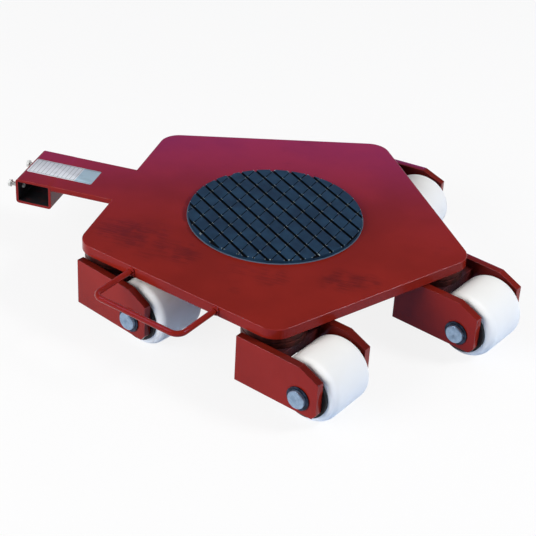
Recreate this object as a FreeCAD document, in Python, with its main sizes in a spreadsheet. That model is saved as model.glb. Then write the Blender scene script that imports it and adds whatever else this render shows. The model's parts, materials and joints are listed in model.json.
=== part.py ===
"""All-direction machine skate: a five-sided deck on five swivelling roller blocks.

Millimetres, +Z up, floor at zero. The arm with its cross tube points along -X. The origin lies on
the floor, under the middle of the box round all pieces. A block's own frame has its kingpin on Z
and its roller along +X.
"""
import FreeCAD, Part
import math
import os

import Sketcher
from FreeCAD import Placement, Rotation, Vector

doc = FreeCAD.newDocument("machine_skate")
sheet = doc.addObject("Spreadsheet::Sheet", "sizes")

# Driving dimensions
SIZES = {
    # Deck plate and arm
    "deck_reach": 275,  # centre to sharp corner of the five-sided deck
    "deck_thickness": 15,
    "deck_corner_radius": 30,
    "arm_width": 91,
    "arm_thickness": 8,  # level with the deck on top
    "arm_reach": 369,  # deck centre to the far face of the cross tube
    # Cross tube with its clamp screws
    "tube_width": 54,
    "tube_height": 38,
    "tube_wall": 4,
    "tube_corner_radius": 4.5,
    "screw_diameter": 6,
    "screw_inset": 15.5,  # from the tube's open end
    "screw_depth": 18,  # below the deck's top
    "screw_head_flats": 10,
    "screw_head_height": 4,
    "screw_gap": 8.4,  # bare thread between nut and head
    "screw_entry": 3,  # tip past the wall's inner face
    "clamp_nut_flats": 10,
    "clamp_nut_height": 5,
    # Carry handle
    "handle_bar_diameter": 8,
    "handle_spacing": 138,
    "handle_reach": 72.5,  # deck edge to the grip's centre line
    "handle_bend_radius": 13,
    # Rubber pad
    "pad_diameter": 239,
    "pad_thickness": 6,
    "pad_lip_width": 1.5,
    "pad_lip_thickness": 1,
    "groove_depth": 2.5,
    "wide_groove": 4,
    "wide_groove_pitch": 21.4,
    "wide_groove_turn": 49.5,  # direction across the grooves, from +X
    "wide_groove_shift": 4,
    "narrow_groove": 1,
    "narrow_groove_pitch": 22,
    "narrow_groove_turn": 169.5,
    "narrow_groove_shift": 3,
    # Swivel bearing and kingpin
    "pivot_inset": 53.4,  # sharp deck corner to kingpin
    "swivel_side_gap": 1.5,  # bearing to side plates
    "race_width": 12.5,
    "race_thickness": 8,
    "race_spacing": 1,  # between the two races
    "ball_diameter": 8,
    "kingpin_diameter": 30,
    "kingpin_head_height": 5.5,
    "kingpin_thread_diameter": 24,
    "kingpin_thread_end": 3,  # thread past the nut
    "nut_flats": 36,
    "nut_height": 19,
    "nut_flange_diameter": 50,
    "nut_flange_height": 4,
    # Roller block
    "ground_clearance": 22.9,
    "plate_thickness": 11,
    "plate_back": 17.6,  # kingpin to the plates' back end
    "plate_past_axle": 27.9,
    "plate_over_roller": 0.7,
    "top_chamfer_length": 30,
    "top_chamfer_height": 14,
    "bottom_chamfer_length": 6.5,
    "bottom_chamfer_height": 8.4,
    "bridge_thickness": 15,
    "bridge_drop": 11.2,  # below the plates' top edge
    "bridge_roller_gap": 1.7,
    # Roller and axle
    "trail": 82.5,  # kingpin to axle
    "roller_diameter": 90,
    "roller_length": 78,
    "roller_edge_radius": 11,
    "roller_bearing_diameter": 52,
    "roller_bearing_width": 15,
    "roller_core_bore": 40,
    "seal_recess": 0.8,
    "seal_ring_width": 4,  # of the bearing's inner and outer rings
    "axle_diameter": 25,
    "axle_overhang": 7,
    "axle_chamfer": 1.2,
    "ring_width": 4.2,
    "ring_thickness": 1.8,
    "ring_groove_depth": 0.7,
    "ring_opening": 6,
    "washer_thickness": 4.7,
    # Clearances
    "running_fit": 0.05,  # radial, turning or sliding shafts
    "loose_fit": 0.1,  # radial, parts that are fixed
    "face_gap": 0.3,  # flat faces that turn past each other
    "ball_gap": 0.15,
    "ball_spread": 1.4,  # ball spacing in ball diameters
    "cut_margin": 2,  # cutting tools stand this far past the faces they open
    # Block directions in the photograph, from +X, counted from the corner opposite the arm
    "turn_1": -20.9,
    "turn_2": -8.2,
    "turn_3": -16,
    "turn_4": -24.1,
    "turn_5": -19.9,
}
BLOCK_COUNT = 5
CORNER_STEP = 360 / BLOCK_COUNT
HANDLE_EDGE = 3.5  # middle of the edge between the fourth and fifth corners

for row, (alias, number) in enumerate(SIZES.items(), start=1):
    sheet.set(f"A{row}", alias)
    sheet.set(f"B{row}", str(number))
    sheet.setAlias(f"B{row}", alias)
doc.recompute()

# Heights above the floor, built up from the roller
AXLE_Z = "(sizes.roller_diameter / 2)"
PLATE_TOP = "(sizes.roller_diameter + sizes.plate_over_roller)"
BRIDGE_TOP = f"({PLATE_TOP} - sizes.bridge_drop)"
BRIDGE_BOTTOM = f"({BRIDGE_TOP} - sizes.bridge_thickness)"
BALL_Z = f"({BRIDGE_TOP} + sizes.race_thickness + sizes.race_spacing / 2)"
UPPER_RACE_Z = f"({BALL_Z} + sizes.race_spacing / 2)"
DECK_BOTTOM = f"({UPPER_RACE_Z} + sizes.race_thickness)"
DECK_TOP = f"({DECK_BOTTOM} + sizes.deck_thickness)"
NUT_TOP = f"({BRIDGE_BOTTOM} - sizes.face_gap)"
NUT_BOTTOM = f"({NUT_TOP} - sizes.nut_flange_height - sizes.nut_height)"

# Lengths shared by several pieces
DECK_EDGE = f"(sizes.deck_reach * cos({CORNER_STEP / 2}))"
PIVOT_REACH = "(sizes.deck_reach - sizes.pivot_inset)"
INNER_HALF = "(sizes.roller_length / 2 + sizes.washer_thickness + sizes.face_gap)"
OUTER_HALF = f"({INNER_HALF} + sizes.plate_thickness)"
AXLE_HALF = f"({OUTER_HALF} + sizes.axle_overhang)"
PLATE_FRONT = "(sizes.trail + sizes.plate_past_axle)"
SWIVEL_RADIUS = f"({INNER_HALF} - sizes.swivel_side_gap)"
SWIVEL_BORE = f"({SWIVEL_RADIUS} - sizes.race_width)"
BALL_CIRCLE = f"({SWIVEL_RADIUS} - sizes.race_width / 2)"
ROLLER_CHORD = f"sqrt(max({AXLE_Z}^2 - ({BRIDGE_BOTTOM} - {AXLE_Z})^2; 0))"
BRIDGE_FRONT = f"(sizes.trail - {ROLLER_CHORD} - sizes.bridge_roller_gap)"
SCREW_Y = "(sizes.arm_width / 2 - sizes.screw_inset)"
SCREW_Z = f"({DECK_TOP} - sizes.screw_depth)"

FLOOR = Placement()
ALONG_X = Rotation(Vector(0, 1, 0), 90)
ALONG_Y = Rotation(Vector(1, 0, 0), -90)
nodes = []


def value(expression):
    """Number that an expression gives with the sheet's present values."""
    return float(sheet.evalExpression(expression))


def bind(piece, **expressions):
    """Tie properties of a piece to expressions on the sheet."""
    for name, expression in expressions.items():
        piece.setExpression(name, expression)


def put(piece, x="0", y="0", z="0", rotation=None):
    """Place a helper solid, with its position tied to the sheet."""
    if rotation is not None:
        piece.Placement = Placement(Vector(), rotation)
    for axis, expression in zip("xyz", (x, y, z)):
        piece.setExpression(f"Placement.Base.{axis}", expression)
    return piece


def cylinder(radius, height, x="0", y="0", z="0", rotation=None):
    piece = doc.addObject("Part::Cylinder", "cylinder")
    bind(piece, Radius=radius, Height=height)
    return put(piece, x, y, z, rotation)


def box(length, width, height, x="0", y="0", z="0", rotation=None):
    piece = doc.addObject("Part::Box", "box")
    bind(piece, Length=length, Width=width, Height=height)
    return put(piece, x, y, z, rotation)


def torus(ring_radius, tube_radius, x="0", y="0", z="0", rotation=None):
    piece = doc.addObject("Part::Torus", "torus")
    bind(piece, Radius1=ring_radius, Radius2=tube_radius)
    return put(piece, x, y, z, rotation)


def hexagon(flats, height, x="0", y="0", z="0", rotation=None):
    """Hexagonal prism given by its width across flats."""
    piece = doc.addObject("Part::Prism", "hexagon")
    piece.Polygon = 6
    bind(piece, Circumradius=f"{flats} / 2 / cos(30)", Height=height)
    return put(piece, x, y, z, rotation)


def fuse(*pieces):
    piece = doc.addObject("Part::MultiFuse", "fuse")
    piece.Shapes = list(pieces)
    piece.Refine = True
    return piece


def cut(base, *tools):
    """Take tools away from a base, one after the other."""
    for tool in tools:
        piece = doc.addObject("Part::Cut", "cut")
        piece.Base = base
        piece.Tool = tool
        base = piece
    return base


def group(pieces):
    """Separate solids that share one node."""
    piece = doc.addObject("Part::Compound", "group")
    piece.Links = list(pieces)
    return piece


def edge_feature(kind, base, sizes, chosen):
    """Part fillet or chamfer on the edges of a base for which chosen is true."""
    doc.recompute()
    piece = doc.addObject(kind, "edges")
    piece.Base = base
    picked = [i for i, edge in enumerate(base.Shape.Edges, start=1) if chosen(edge)]
    piece.Edges = [(i, *sizes) for i in picked]
    return piece


def round_edge(edge):
    """True for a full circle."""
    return isinstance(edge.Curve, Part.Circle) and len(edge.Vertexes) == 1


def node(name, piece, placement=FLOOR):
    """Name a finished sub-part and place it."""
    piece.Label = name
    piece.Placement = placement
    nodes.append(piece)
    return piece


def outline_body(name, role, corners):
    """Body with one closed straight-sided sketch, each corner held by two bound distances.

    The sketch lies on the origin plane with the given role, and corners are pairs of expressions.
    """
    body = doc.addObject("PartDesign::Body", name)
    sketch = body.newObject("Sketcher::SketchObject", f"{name}_outline")
    plane = next(item for item in body.Origin.OriginFeatures if item.Role == role)
    sketch.AttachmentSupport = [(plane, "")]
    sketch.MapMode = "FlatFace"
    points = [Vector(value(x), value(y), 0) for x, y in corners]
    count = len(points)
    for i, point in enumerate(points):
        sketch.addGeometry(Part.LineSegment(point, points[(i + 1) % count]))
    for i in range(count):
        sketch.addConstraint(Sketcher.Constraint("Coincident", i, 2, (i + 1) % count, 1))
    for i, (x, y) in enumerate(corners):
        for kind, expression in (("DistanceX", x), ("DistanceY", y)):
            rule = Sketcher.Constraint(kind, -1, 1, i, 1, value(expression))
            index = sketch.addConstraint(rule)
            sketch.setExpression(f"Constraints[{index}]", expression)
    return body, sketch


def pad(body, sketch, length):
    feature = body.newObject("PartDesign::Pad", "pad")
    feature.Profile = sketch
    bind(feature, Length=length)
    return feature


def fillet(body, base, radius, chosen):
    """Body fillet on the edges of a feature for which chosen is true."""
    doc.recompute()
    names = [f"Edge{i}" for i, edge in enumerate(base.Shape.Edges, start=1) if chosen(edge)]
    feature = body.newObject("PartDesign::Fillet", "fillet")
    feature.Base = (base, names)
    bind(feature, Radius=radius)
    return feature


def corner_angle(index):
    """Direction of a deck corner from the centre, in degrees."""
    return CORNER_STEP * index


def pivot_place(index, turn=0):
    """Frame of a block: on the floor under its kingpin, turned about Z."""
    angle = math.radians(corner_angle(index))
    reach = value(PIVOT_REACH)
    return Placement(Vector(reach * math.cos(angle), reach * math.sin(angle), 0), Rotation(turn, 0, 0))


def make_deck_plate():
    """Five-sided plate with rounded corners, and the thinner flat arm welded to it level with its top."""
    corners = [
        (f"sizes.deck_reach * cos({corner_angle(i)})", f"sizes.deck_reach * sin({corner_angle(i)})")
        for i in range(BLOCK_COUNT)
    ]
    body, sketch = outline_body("deck_plate", "XY_Plane", corners)
    plate = pad(body, sketch, "sizes.deck_thickness")
    reach = value("sizes.deck_reach")

    def at_corner(edge):
        upright = len(edge.Vertexes) == 2 and abs(edge.tangentAt(edge.FirstParameter).z) > 0.99
        middle = edge.CenterOfMass
        return upright and abs(math.hypot(middle.x, middle.y) - reach) < 0.01

    fillet(body, plate, "sizes.deck_corner_radius", at_corner)
    arm_length = "(sizes.arm_reach - sizes.tube_width)"
    arm = body.newObject("PartDesign::AdditiveBox", "arm")
    bind(arm, Length=f"{arm_length} - {DECK_EDGE} + sizes.arm_thickness", Width="sizes.arm_width",
         Height="sizes.arm_thickness")
    put(arm, f"-{arm_length}", "-sizes.arm_width / 2", "sizes.deck_thickness - sizes.arm_thickness")
    node("deck_plate", body, Placement(Vector(0, 0, value(DECK_BOTTOM)), Rotation()))


def make_socket_tube():
    """Rectangular tube across the arm's end, with a clearance hole for each clamp screw."""
    wall = "sizes.tube_wall"

    def lengthwise(edge):
        return abs(edge.tangentAt(edge.FirstParameter).y) > 0.99

    left = "-sizes.arm_width / 2"
    outer = box("sizes.tube_width", "sizes.arm_width", "sizes.tube_height", "-sizes.arm_reach", left,
                f"{DECK_TOP} - sizes.tube_height")
    inner = box(f"sizes.tube_width - 2 * {wall}", "sizes.arm_width", f"sizes.tube_height - 2 * {wall}",
                f"-sizes.arm_reach + {wall}", left, f"{DECK_TOP} - sizes.tube_height + {wall}")
    outer_radius = value("sizes.tube_corner_radius")
    inner_radius = value(f"max(sizes.tube_corner_radius - {wall}; {wall} / 4)")
    outer = edge_feature("Part::Fillet", outer, (outer_radius, outer_radius), lengthwise)
    inner = edge_feature("Part::Fillet", inner, (inner_radius, inner_radius), lengthwise)
    holes = [
        cylinder("sizes.screw_diameter / 2 + sizes.loose_fit", f"{wall} + 2 * sizes.cut_margin",
                 "-sizes.arm_reach - sizes.cut_margin", f"{side} * {SCREW_Y}", SCREW_Z, ALONG_X)
        for side in (-1, 1)
    ]
    node("socket_tube", cut(outer, inner, *holes))


def make_clamp_parts():
    """Weld nuts on the tube's outer wall and the screws that turn in them."""
    nuts = []
    for name, side in (("clamp_screw_near", -1), ("clamp_screw_far", 1)):
        across = f"{side} * {SCREW_Y}"
        nut_x = "-sizes.arm_reach - sizes.clamp_nut_height"
        blank = hexagon("sizes.clamp_nut_flats", "sizes.clamp_nut_height", nut_x, across, SCREW_Z, ALONG_X)
        bore = cylinder("sizes.screw_diameter / 2 + sizes.running_fit",
                        "sizes.clamp_nut_height + 2 * sizes.cut_margin",
                        f"{nut_x} - sizes.cut_margin", across, SCREW_Z, ALONG_X)
        nuts.append(cut(blank, bore))
        head_x = f"{nut_x} - sizes.screw_gap - sizes.screw_head_height"
        head = hexagon("sizes.screw_head_flats", "sizes.screw_head_height", head_x, across, SCREW_Z, ALONG_X)
        length = ("sizes.screw_head_height + sizes.screw_gap + sizes.clamp_nut_height"
                  " + sizes.tube_wall + sizes.screw_entry")
        shank = cylinder("sizes.screw_diameter / 2", length, head_x, across, SCREW_Z, ALONG_X)
        node(name, fuse(head, shank))
    node("clamp_nuts", group(nuts))


def make_carry_handle():
    """Bar bent to a U in the deck's mid-plane, with its legs square on the deck's edge."""
    bar = "sizes.handle_bar_diameter / 2"
    bend = "sizes.handle_bend_radius"
    half = "sizes.handle_spacing / 2"
    leg = f"sizes.handle_reach - {bend}"
    pieces = [cylinder(bar, f"sizes.handle_spacing - 2 * {bend}", "sizes.handle_reach",
                       f"-{half} + {bend}", "0", ALONG_Y)]
    for side, start in ((-1, 270), (1, 0)):
        pieces.append(cylinder(bar, leg, "0", f"{side} * {half}", "0", ALONG_X))
        corner = torus(bend, bar, leg, f"{side} * ({half} - {bend})", "0", Rotation(start, 0, 0))
        corner.Angle3 = 90
        pieces.append(corner)
    angle = corner_angle(HANDLE_EDGE)
    edge = value(DECK_EDGE)
    middle = Vector(edge * math.cos(math.radians(angle)), edge * math.sin(math.radians(angle)),
                    value(f"{DECK_BOTTOM} + sizes.deck_thickness / 2"))
    node("carry_handle", fuse(*pieces), Placement(middle, Rotation(angle, 0, 0)))


def groove_set(width, pitch, shift, turn):
    """Parallel grooves over the whole pad, across the given direction."""
    across = value("sizes.pad_diameter")
    count = math.ceil(across / value(pitch) / 2)
    direction = Rotation(value(turn), 0, 0)
    half_length = "(sizes.pad_diameter / 2 + sizes.pad_lip_width + sizes.cut_margin)"
    grooves = []
    for i in range(-count, count + 1):
        offset = f"({pitch} * {i + 0.5} + {shift} - {width} / 2)"
        groove = box(width, f"2 * {half_length}", "sizes.groove_depth + sizes.cut_margin",
                     f"{offset} * cos({turn}) + {half_length} * sin({turn})",
                     f"{offset} * sin({turn}) - {half_length} * cos({turn})",
                     "sizes.pad_thickness - sizes.groove_depth", direction)
        grooves.append(groove)
    return group(grooves)


def make_rubber_pad():
    """Round load pad with a thin lip, cut into lozenges by two sets of grooves."""
    disc = cylinder("sizes.pad_diameter / 2", "sizes.pad_thickness")
    lip = cylinder("sizes.pad_diameter / 2 + sizes.pad_lip_width", "sizes.pad_lip_thickness")
    wide = groove_set("sizes.wide_groove", "sizes.wide_groove_pitch", "sizes.wide_groove_shift",
                      "sizes.wide_groove_turn")
    narrow = groove_set("sizes.narrow_groove", "sizes.narrow_groove_pitch", "sizes.narrow_groove_shift",
                        "sizes.narrow_groove_turn")
    whole = cut(fuse(disc, lip), wide, narrow)
    node("rubber_pad", whole, Placement(Vector(0, 0, value(DECK_TOP)), Rotation()))


def race(bottom):
    """Flat bearing ring with half of the ball track."""
    blank = cylinder(SWIVEL_RADIUS, "sizes.race_thickness", z=bottom)
    bore = cylinder(SWIVEL_BORE, "sizes.race_thickness + 2 * sizes.cut_margin",
                    z=f"{bottom} - sizes.cut_margin")
    track = torus(BALL_CIRCLE, "sizes.ball_diameter / 2 + sizes.ball_gap", z=BALL_Z)
    return cut(blank, bore, track)


def make_pivots():
    """Kingpins, upper races and nuts, one of each under every corner."""
    pins, races, nuts = [], [], []
    for i in range(BLOCK_COUNT):
        head = cylinder(f"{SWIVEL_BORE} - sizes.loose_fit", "sizes.kingpin_head_height",
                        z=f"{DECK_BOTTOM} - sizes.kingpin_head_height")
        shaft = cylinder("sizes.kingpin_diameter / 2", f"{DECK_BOTTOM} - {NUT_TOP}", z=NUT_TOP)
        thread = cylinder("sizes.kingpin_thread_diameter / 2",
                          f"{DECK_BOTTOM} - {NUT_BOTTOM} + sizes.kingpin_thread_end",
                          z=f"{NUT_BOTTOM} - sizes.kingpin_thread_end")
        flange = cylinder("sizes.nut_flange_diameter / 2", "sizes.nut_flange_height",
                          z=f"{NUT_TOP} - sizes.nut_flange_height")
        hexagon_part = hexagon("sizes.nut_flats", "sizes.nut_height", z=NUT_BOTTOM)
        bore = cylinder("sizes.kingpin_thread_diameter / 2 + sizes.loose_fit",
                        f"{NUT_TOP} - {NUT_BOTTOM} + 2 * sizes.cut_margin",
                        z=f"{NUT_BOTTOM} - sizes.cut_margin")
        for pieces, piece in ((pins, fuse(head, shaft, thread)), (races, race(UPPER_RACE_Z)),
                              (nuts, cut(fuse(flange, hexagon_part), bore))):
            piece.Placement = pivot_place(i)
            pieces.append(piece)
    node("kingpins", group(pins))
    node("upper_races", group(races))
    node("kingpin_nuts", group(nuts))


def side_plate(name, lower_face):
    """Chamfered side plate with its axle hole; lower_face is its smaller Y."""
    corners = [
        ("-sizes.plate_back", "sizes.ground_clearance"),
        (f"{PLATE_FRONT} - sizes.bottom_chamfer_length", "sizes.ground_clearance"),
        (PLATE_FRONT, "sizes.ground_clearance + sizes.bottom_chamfer_height"),
        (PLATE_FRONT, f"{PLATE_TOP} - sizes.top_chamfer_height"),
        (f"{PLATE_FRONT} - sizes.top_chamfer_length", PLATE_TOP),
        ("-sizes.plate_back", PLATE_TOP),
    ]
    body, sketch = outline_body(name, "XZ_Plane", corners)
    bind(sketch, **{"AttachmentOffset.Base.z": f"-({lower_face})"})
    plate = pad(body, sketch, "sizes.plate_thickness")
    plate.Reversed = True
    hole = body.newObject("PartDesign::SubtractiveCylinder", "axle_hole")
    bind(hole, Radius="sizes.axle_diameter / 2 + sizes.loose_fit",
         Height="sizes.plate_thickness + 2 * sizes.cut_margin")
    put(hole, "sizes.trail", f"{lower_face} - sizes.cut_margin", AXLE_Z, ALONG_Y)
    return body


def make_block_frame(n, place):
    """Side plates and the bridge plate that carries the swivel bearing."""
    node(f"left_plate_{n}", side_plate(f"left_plate_{n}", INNER_HALF), place)
    node(f"right_plate_{n}", side_plate(f"right_plate_{n}", f"-{OUTER_HALF}"), place)
    front = box(BRIDGE_FRONT, f"2 * {INNER_HALF}", "sizes.bridge_thickness", "0", f"-{INNER_HALF}",
                BRIDGE_BOTTOM)
    back = cylinder(SWIVEL_RADIUS, "sizes.bridge_thickness", z=BRIDGE_BOTTOM)
    bore = cylinder("sizes.kingpin_diameter / 2 + sizes.running_fit",
                    "sizes.bridge_thickness + 2 * sizes.cut_margin", z=f"{BRIDGE_BOTTOM} - sizes.cut_margin")
    roller_room = box("sizes.trail", f"2 * {INNER_HALF}", "sizes.bridge_thickness + 2 * sizes.cut_margin",
                      BRIDGE_FRONT, f"-{INNER_HALF}", f"{BRIDGE_BOTTOM} - sizes.cut_margin")
    node(f"bridge_plate_{n}", cut(fuse(front, back), bore, roller_room), place)


def make_swivel_bearing(n, place):
    """Lower race and the ring of balls."""
    node(f"lower_race_{n}", race(BRIDGE_TOP), place)
    count = int(value(f"2 * pi * {BALL_CIRCLE} / (sizes.ball_diameter * sizes.ball_spread)"))
    balls = []
    for i in range(count):
        ball = doc.addObject("Part::Sphere", "ball")
        bind(ball, Radius="sizes.ball_diameter / 2")
        angle = 360 * i / count
        balls.append(put(ball, f"{BALL_CIRCLE} * cos({angle})", f"{BALL_CIRCLE} * sin({angle})", BALL_Z))
    node(f"swivel_balls_{n}", group(balls), place)


def make_axle_set(n, place):
    """Axle with its retaining rings and the thrust washers beside the roller."""
    trail = "sizes.trail"
    radius = "sizes.axle_diameter / 2"
    groove_radius = f"({radius} - sizes.ring_groove_depth)"
    bar = cylinder(radius, f"2 * {AXLE_HALF}", trail, f"-{AXLE_HALF}", AXLE_Z, ALONG_Y)
    bar_ends = (value("sizes.axle_chamfer"),) * 2
    bar = edge_feature("Part::Chamfer", bar, bar_ends, round_edge)
    ring_radius = f"({radius} + sizes.ring_width)"
    margin = "sizes.cut_margin"
    grooves, rings, washers = [], [], []
    for side in (-1, 1):
        width = "sizes.ring_thickness"
        start = f"({side} * ({OUTER_HALF} + sizes.face_gap + {width} / 2) - {width} / 2)"
        collar = cylinder(ring_radius, width, trail, start, AXLE_Z, ALONG_Y)
        core = cylinder(groove_radius, width, trail, start, AXLE_Z, ALONG_Y)
        grooves.append(cut(collar, core))
        rim = cylinder(ring_radius, width, trail, start, AXLE_Z, ALONG_Y)
        bore = cylinder(f"{groove_radius} + sizes.running_fit", f"{width} + 2 * {margin}", trail,
                        f"{start} - {margin}", AXLE_Z, ALONG_Y)
        opening = box("sizes.ring_opening", f"{width} + 2 * {margin}", f"{ring_radius} + {margin}",
                      f"{trail} - sizes.ring_opening / 2", f"{start} - {margin}",
                      f"{AXLE_Z} - {ring_radius} - {margin}")
        rings.append(cut(rim, bore, opening))
        width = "sizes.washer_thickness"
        start = f"({side} * ({INNER_HALF} - {width} / 2) - {width} / 2)"
        disc = cylinder(f"{AXLE_Z} - sizes.roller_edge_radius", width, trail, start, AXLE_Z, ALONG_Y)
        eye = cylinder(f"{radius} + sizes.loose_fit", f"{width} + 2 * {margin}", trail,
                       f"{start} - {margin}", AXLE_Z, ALONG_Y)
        washers.append(cut(disc, eye))
    node(f"axle_{n}", cut(bar, *grooves), place)
    node(f"axle_rings_{n}", group(rings), place)
    node(f"thrust_washers_{n}", group(washers), place)


def make_roller(n, place):
    """Roller with rounded edges and a sealed ball bearing in each end."""
    half = "(sizes.roller_length / 2)"
    width = "sizes.roller_bearing_width"
    trail = "sizes.trail"
    blank = cylinder("sizes.roller_diameter / 2", "sizes.roller_length", trail, f"-{half}", AXLE_Z, ALONG_Y)
    edge_radius = (value("sizes.roller_edge_radius"),) * 2
    blank = edge_feature("Part::Fillet", blank, edge_radius, round_edge)
    margin = "sizes.cut_margin"
    core = cylinder("sizes.roller_core_bore / 2", f"sizes.roller_length + 2 * {margin}", trail,
                    f"-{half} - {margin}", AXLE_Z, ALONG_Y)
    seats, bearings = [], []
    for side in (-1, 1):
        start = f"({side} * ({half} - {width} / 2) - {width} / 2)"
        seat_start = f"{side} * {half} - {width}"
        seats.append(cylinder("sizes.roller_bearing_diameter / 2 + sizes.loose_fit", f"2 * {width}", trail,
                              seat_start, AXLE_Z, ALONG_Y))
        ring = cylinder("sizes.roller_bearing_diameter / 2", width, trail, start, AXLE_Z, ALONG_Y)
        bore = cylinder("sizes.axle_diameter / 2 + sizes.running_fit", f"{width} + 2 * {margin}", trail,
                        f"{start} - {margin}", AXLE_Z, ALONG_Y)
        seal_start = f"{side} * {half} - sizes.seal_recess"
        seal = cylinder("sizes.roller_bearing_diameter / 2 - sizes.seal_ring_width", "2 * sizes.seal_recess",
                        trail, seal_start, AXLE_Z, ALONG_Y)
        hub = cylinder("sizes.axle_diameter / 2 + sizes.seal_ring_width", "2 * sizes.seal_recess", trail,
                       seal_start, AXLE_Z, ALONG_Y)
        bearings.append(cut(ring, cut(seal, hub), bore))
    node(f"roller_{n}", cut(blank, core, *seats), place)
    node(f"roller_bearings_{n}", group(bearings), place)


def move_origin():
    """Shift every sub-part so that the origin is under the middle of the box round them all."""
    bounds = FreeCAD.BoundBox()
    for piece in nodes:
        bounds.add(piece.Shape.optimalBoundingBox(False, False))
    shift = Vector(-bounds.Center.x, -bounds.Center.y, -bounds.ZMin)
    for piece in nodes:
        piece.Placement = Placement(shift, Rotation()).multiply(piece.Placement)
    print("deck centre", [round(number, 4) for number in shift])
    print("overall", [round(number, 3) for number in (bounds.XLength, bounds.YLength, bounds.ZLength)])


def check_document():
    """Stop if any object failed or any sub-part is empty or invalid."""
    failed = [item.Label for item in doc.Objects if {"Invalid", "Error"} & set(item.State)]
    bad = [piece.Label for piece in nodes if piece.Shape.isNull() or not piece.Shape.isValid()]
    if failed or bad:
        raise RuntimeError(f"failed objects {failed}, bad shapes {bad}")


def write_parts():
    os.makedirs("parts", exist_ok=True)
    for piece in nodes:
        piece.Shape.exportStep(f"parts/{piece.Label}.step")
        solids = piece.Shape.Solids
        print(piece.Label, "solids", len(solids), "volume", round(sum(solid.Volume for solid in solids), 1))


make_deck_plate()
make_socket_tube()
make_clamp_parts()
make_carry_handle()
make_rubber_pad()
make_pivots()
for block in range(1, BLOCK_COUNT + 1):
    block_place = pivot_place(block - 1, value(f"sizes.turn_{block}"))
    make_block_frame(block, block_place)
    make_swivel_bearing(block, block_place)
    make_axle_set(block, block_place)
    make_roller(block, block_place)
doc.recompute()
check_document()
move_origin()
write_parts()
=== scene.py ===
"""Looks of an all-direction machine skate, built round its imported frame.

Metres, in the frame's own axes: +Z up, floor at zero, the arm with its cross tube towards -X.
"""

import json
import logging
import math
from dataclasses import dataclass, field, replace
from enum import Enum
from typing import Iterable, Mapping, Optional, Sequence, Union

import bmesh
import bpy
from mathutils import Matrix, Vector, noise


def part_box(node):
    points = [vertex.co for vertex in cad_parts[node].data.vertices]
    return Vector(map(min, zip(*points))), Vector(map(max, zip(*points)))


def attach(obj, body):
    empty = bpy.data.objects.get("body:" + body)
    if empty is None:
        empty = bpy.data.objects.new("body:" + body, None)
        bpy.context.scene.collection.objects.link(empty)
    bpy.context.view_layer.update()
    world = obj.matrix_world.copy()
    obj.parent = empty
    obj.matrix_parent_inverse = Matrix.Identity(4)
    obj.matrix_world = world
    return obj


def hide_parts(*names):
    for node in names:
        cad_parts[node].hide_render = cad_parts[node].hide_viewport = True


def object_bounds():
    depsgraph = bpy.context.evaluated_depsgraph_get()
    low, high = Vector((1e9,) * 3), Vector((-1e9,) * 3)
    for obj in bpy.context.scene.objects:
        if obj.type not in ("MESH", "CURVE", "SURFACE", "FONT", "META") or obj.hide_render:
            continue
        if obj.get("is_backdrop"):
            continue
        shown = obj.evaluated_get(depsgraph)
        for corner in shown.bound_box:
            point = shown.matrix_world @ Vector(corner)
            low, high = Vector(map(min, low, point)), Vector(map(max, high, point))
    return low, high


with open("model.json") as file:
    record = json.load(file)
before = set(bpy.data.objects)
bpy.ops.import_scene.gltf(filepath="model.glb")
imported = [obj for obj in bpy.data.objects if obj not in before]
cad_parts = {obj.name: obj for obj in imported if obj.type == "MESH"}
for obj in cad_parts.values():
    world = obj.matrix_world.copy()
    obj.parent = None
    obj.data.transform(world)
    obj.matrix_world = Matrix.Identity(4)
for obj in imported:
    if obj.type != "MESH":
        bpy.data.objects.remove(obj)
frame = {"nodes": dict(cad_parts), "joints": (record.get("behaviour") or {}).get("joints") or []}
CAD_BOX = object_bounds()

LOG = logging.getLogger("machine_skate")
MM = 0.001
UP = Vector((0, 0, 1))
QUARTER_TURN = math.pi / 2
FULL_TURN = 2 * math.pi
MERGE_DISTANCE = 0.001 * MM
FLAT_ANGLE = math.radians(0.5)
SHARP_ANGLE = math.radians(24)
CREASE_ANGLE = math.radians(50)
FACING = 0.5  # part of a face's normal from which it looks that way

# Socket numbers of a Mix node that mixes colours
MIX_SHARE, MIX_LOW, MIX_HIGH, MIX_RESULT = 0, 6, 7, 2

# Sizes and names that several sub-assemblies share
DECK = "deck"
BLOCK_NUMBERS = range(1, 6)
DECK_REACH = 275 * MM
EDGE_REACH = DECK_REACH * math.cos(math.pi / 5)
ARM_THICKNESS = 8 * MM
RACE_EASE = 0.7 * MM
WELD_STEP = 0.4 * MM

# Types of a few values that belong together
Rgba = tuple[float, float, float, float]
Span = tuple[float, float]
Spots = tuple[tuple[float, float, float], ...]  # x, y and reach of each spot


class Slot(Enum):
    """Material slots of the record."""

    RED_PAINT = "red_paint"
    BRIGHT_STEEL = "bright_steel"
    ZINC_PLATE = "zinc_plate"
    WHITE_NYLON = "white_nylon"
    BLACK_RUBBER = "black_rubber"
    BLACK_PLASTIC = "black_plastic"


class Mark(Enum):
    """Values that a mesh carries for its finish."""

    CREST = "crest"  # one along the crest of an eased edge and on a lozenge's corners
    RUN = "run"  # metres along a turned profile


class Clamp(Enum):
    """The two clamp screws, each with its own body and node."""

    NEAR = "near"
    FAR = "far"


@dataclass(frozen=True)
class Colour:
    """A colour in 8-bit sRGB steps."""

    red: int
    green: int
    blue: int

    def linear(self) -> Rgba:
        """Scene-linear values with full cover, for a colour socket."""
        shares = [step / 255 for step in (self.red, self.green, self.blue)]
        return (*(s / 12.92 if s <= 0.04045 else ((s + 0.055) / 1.055) ** 2.4 for s in shares), 1.0)


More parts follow.
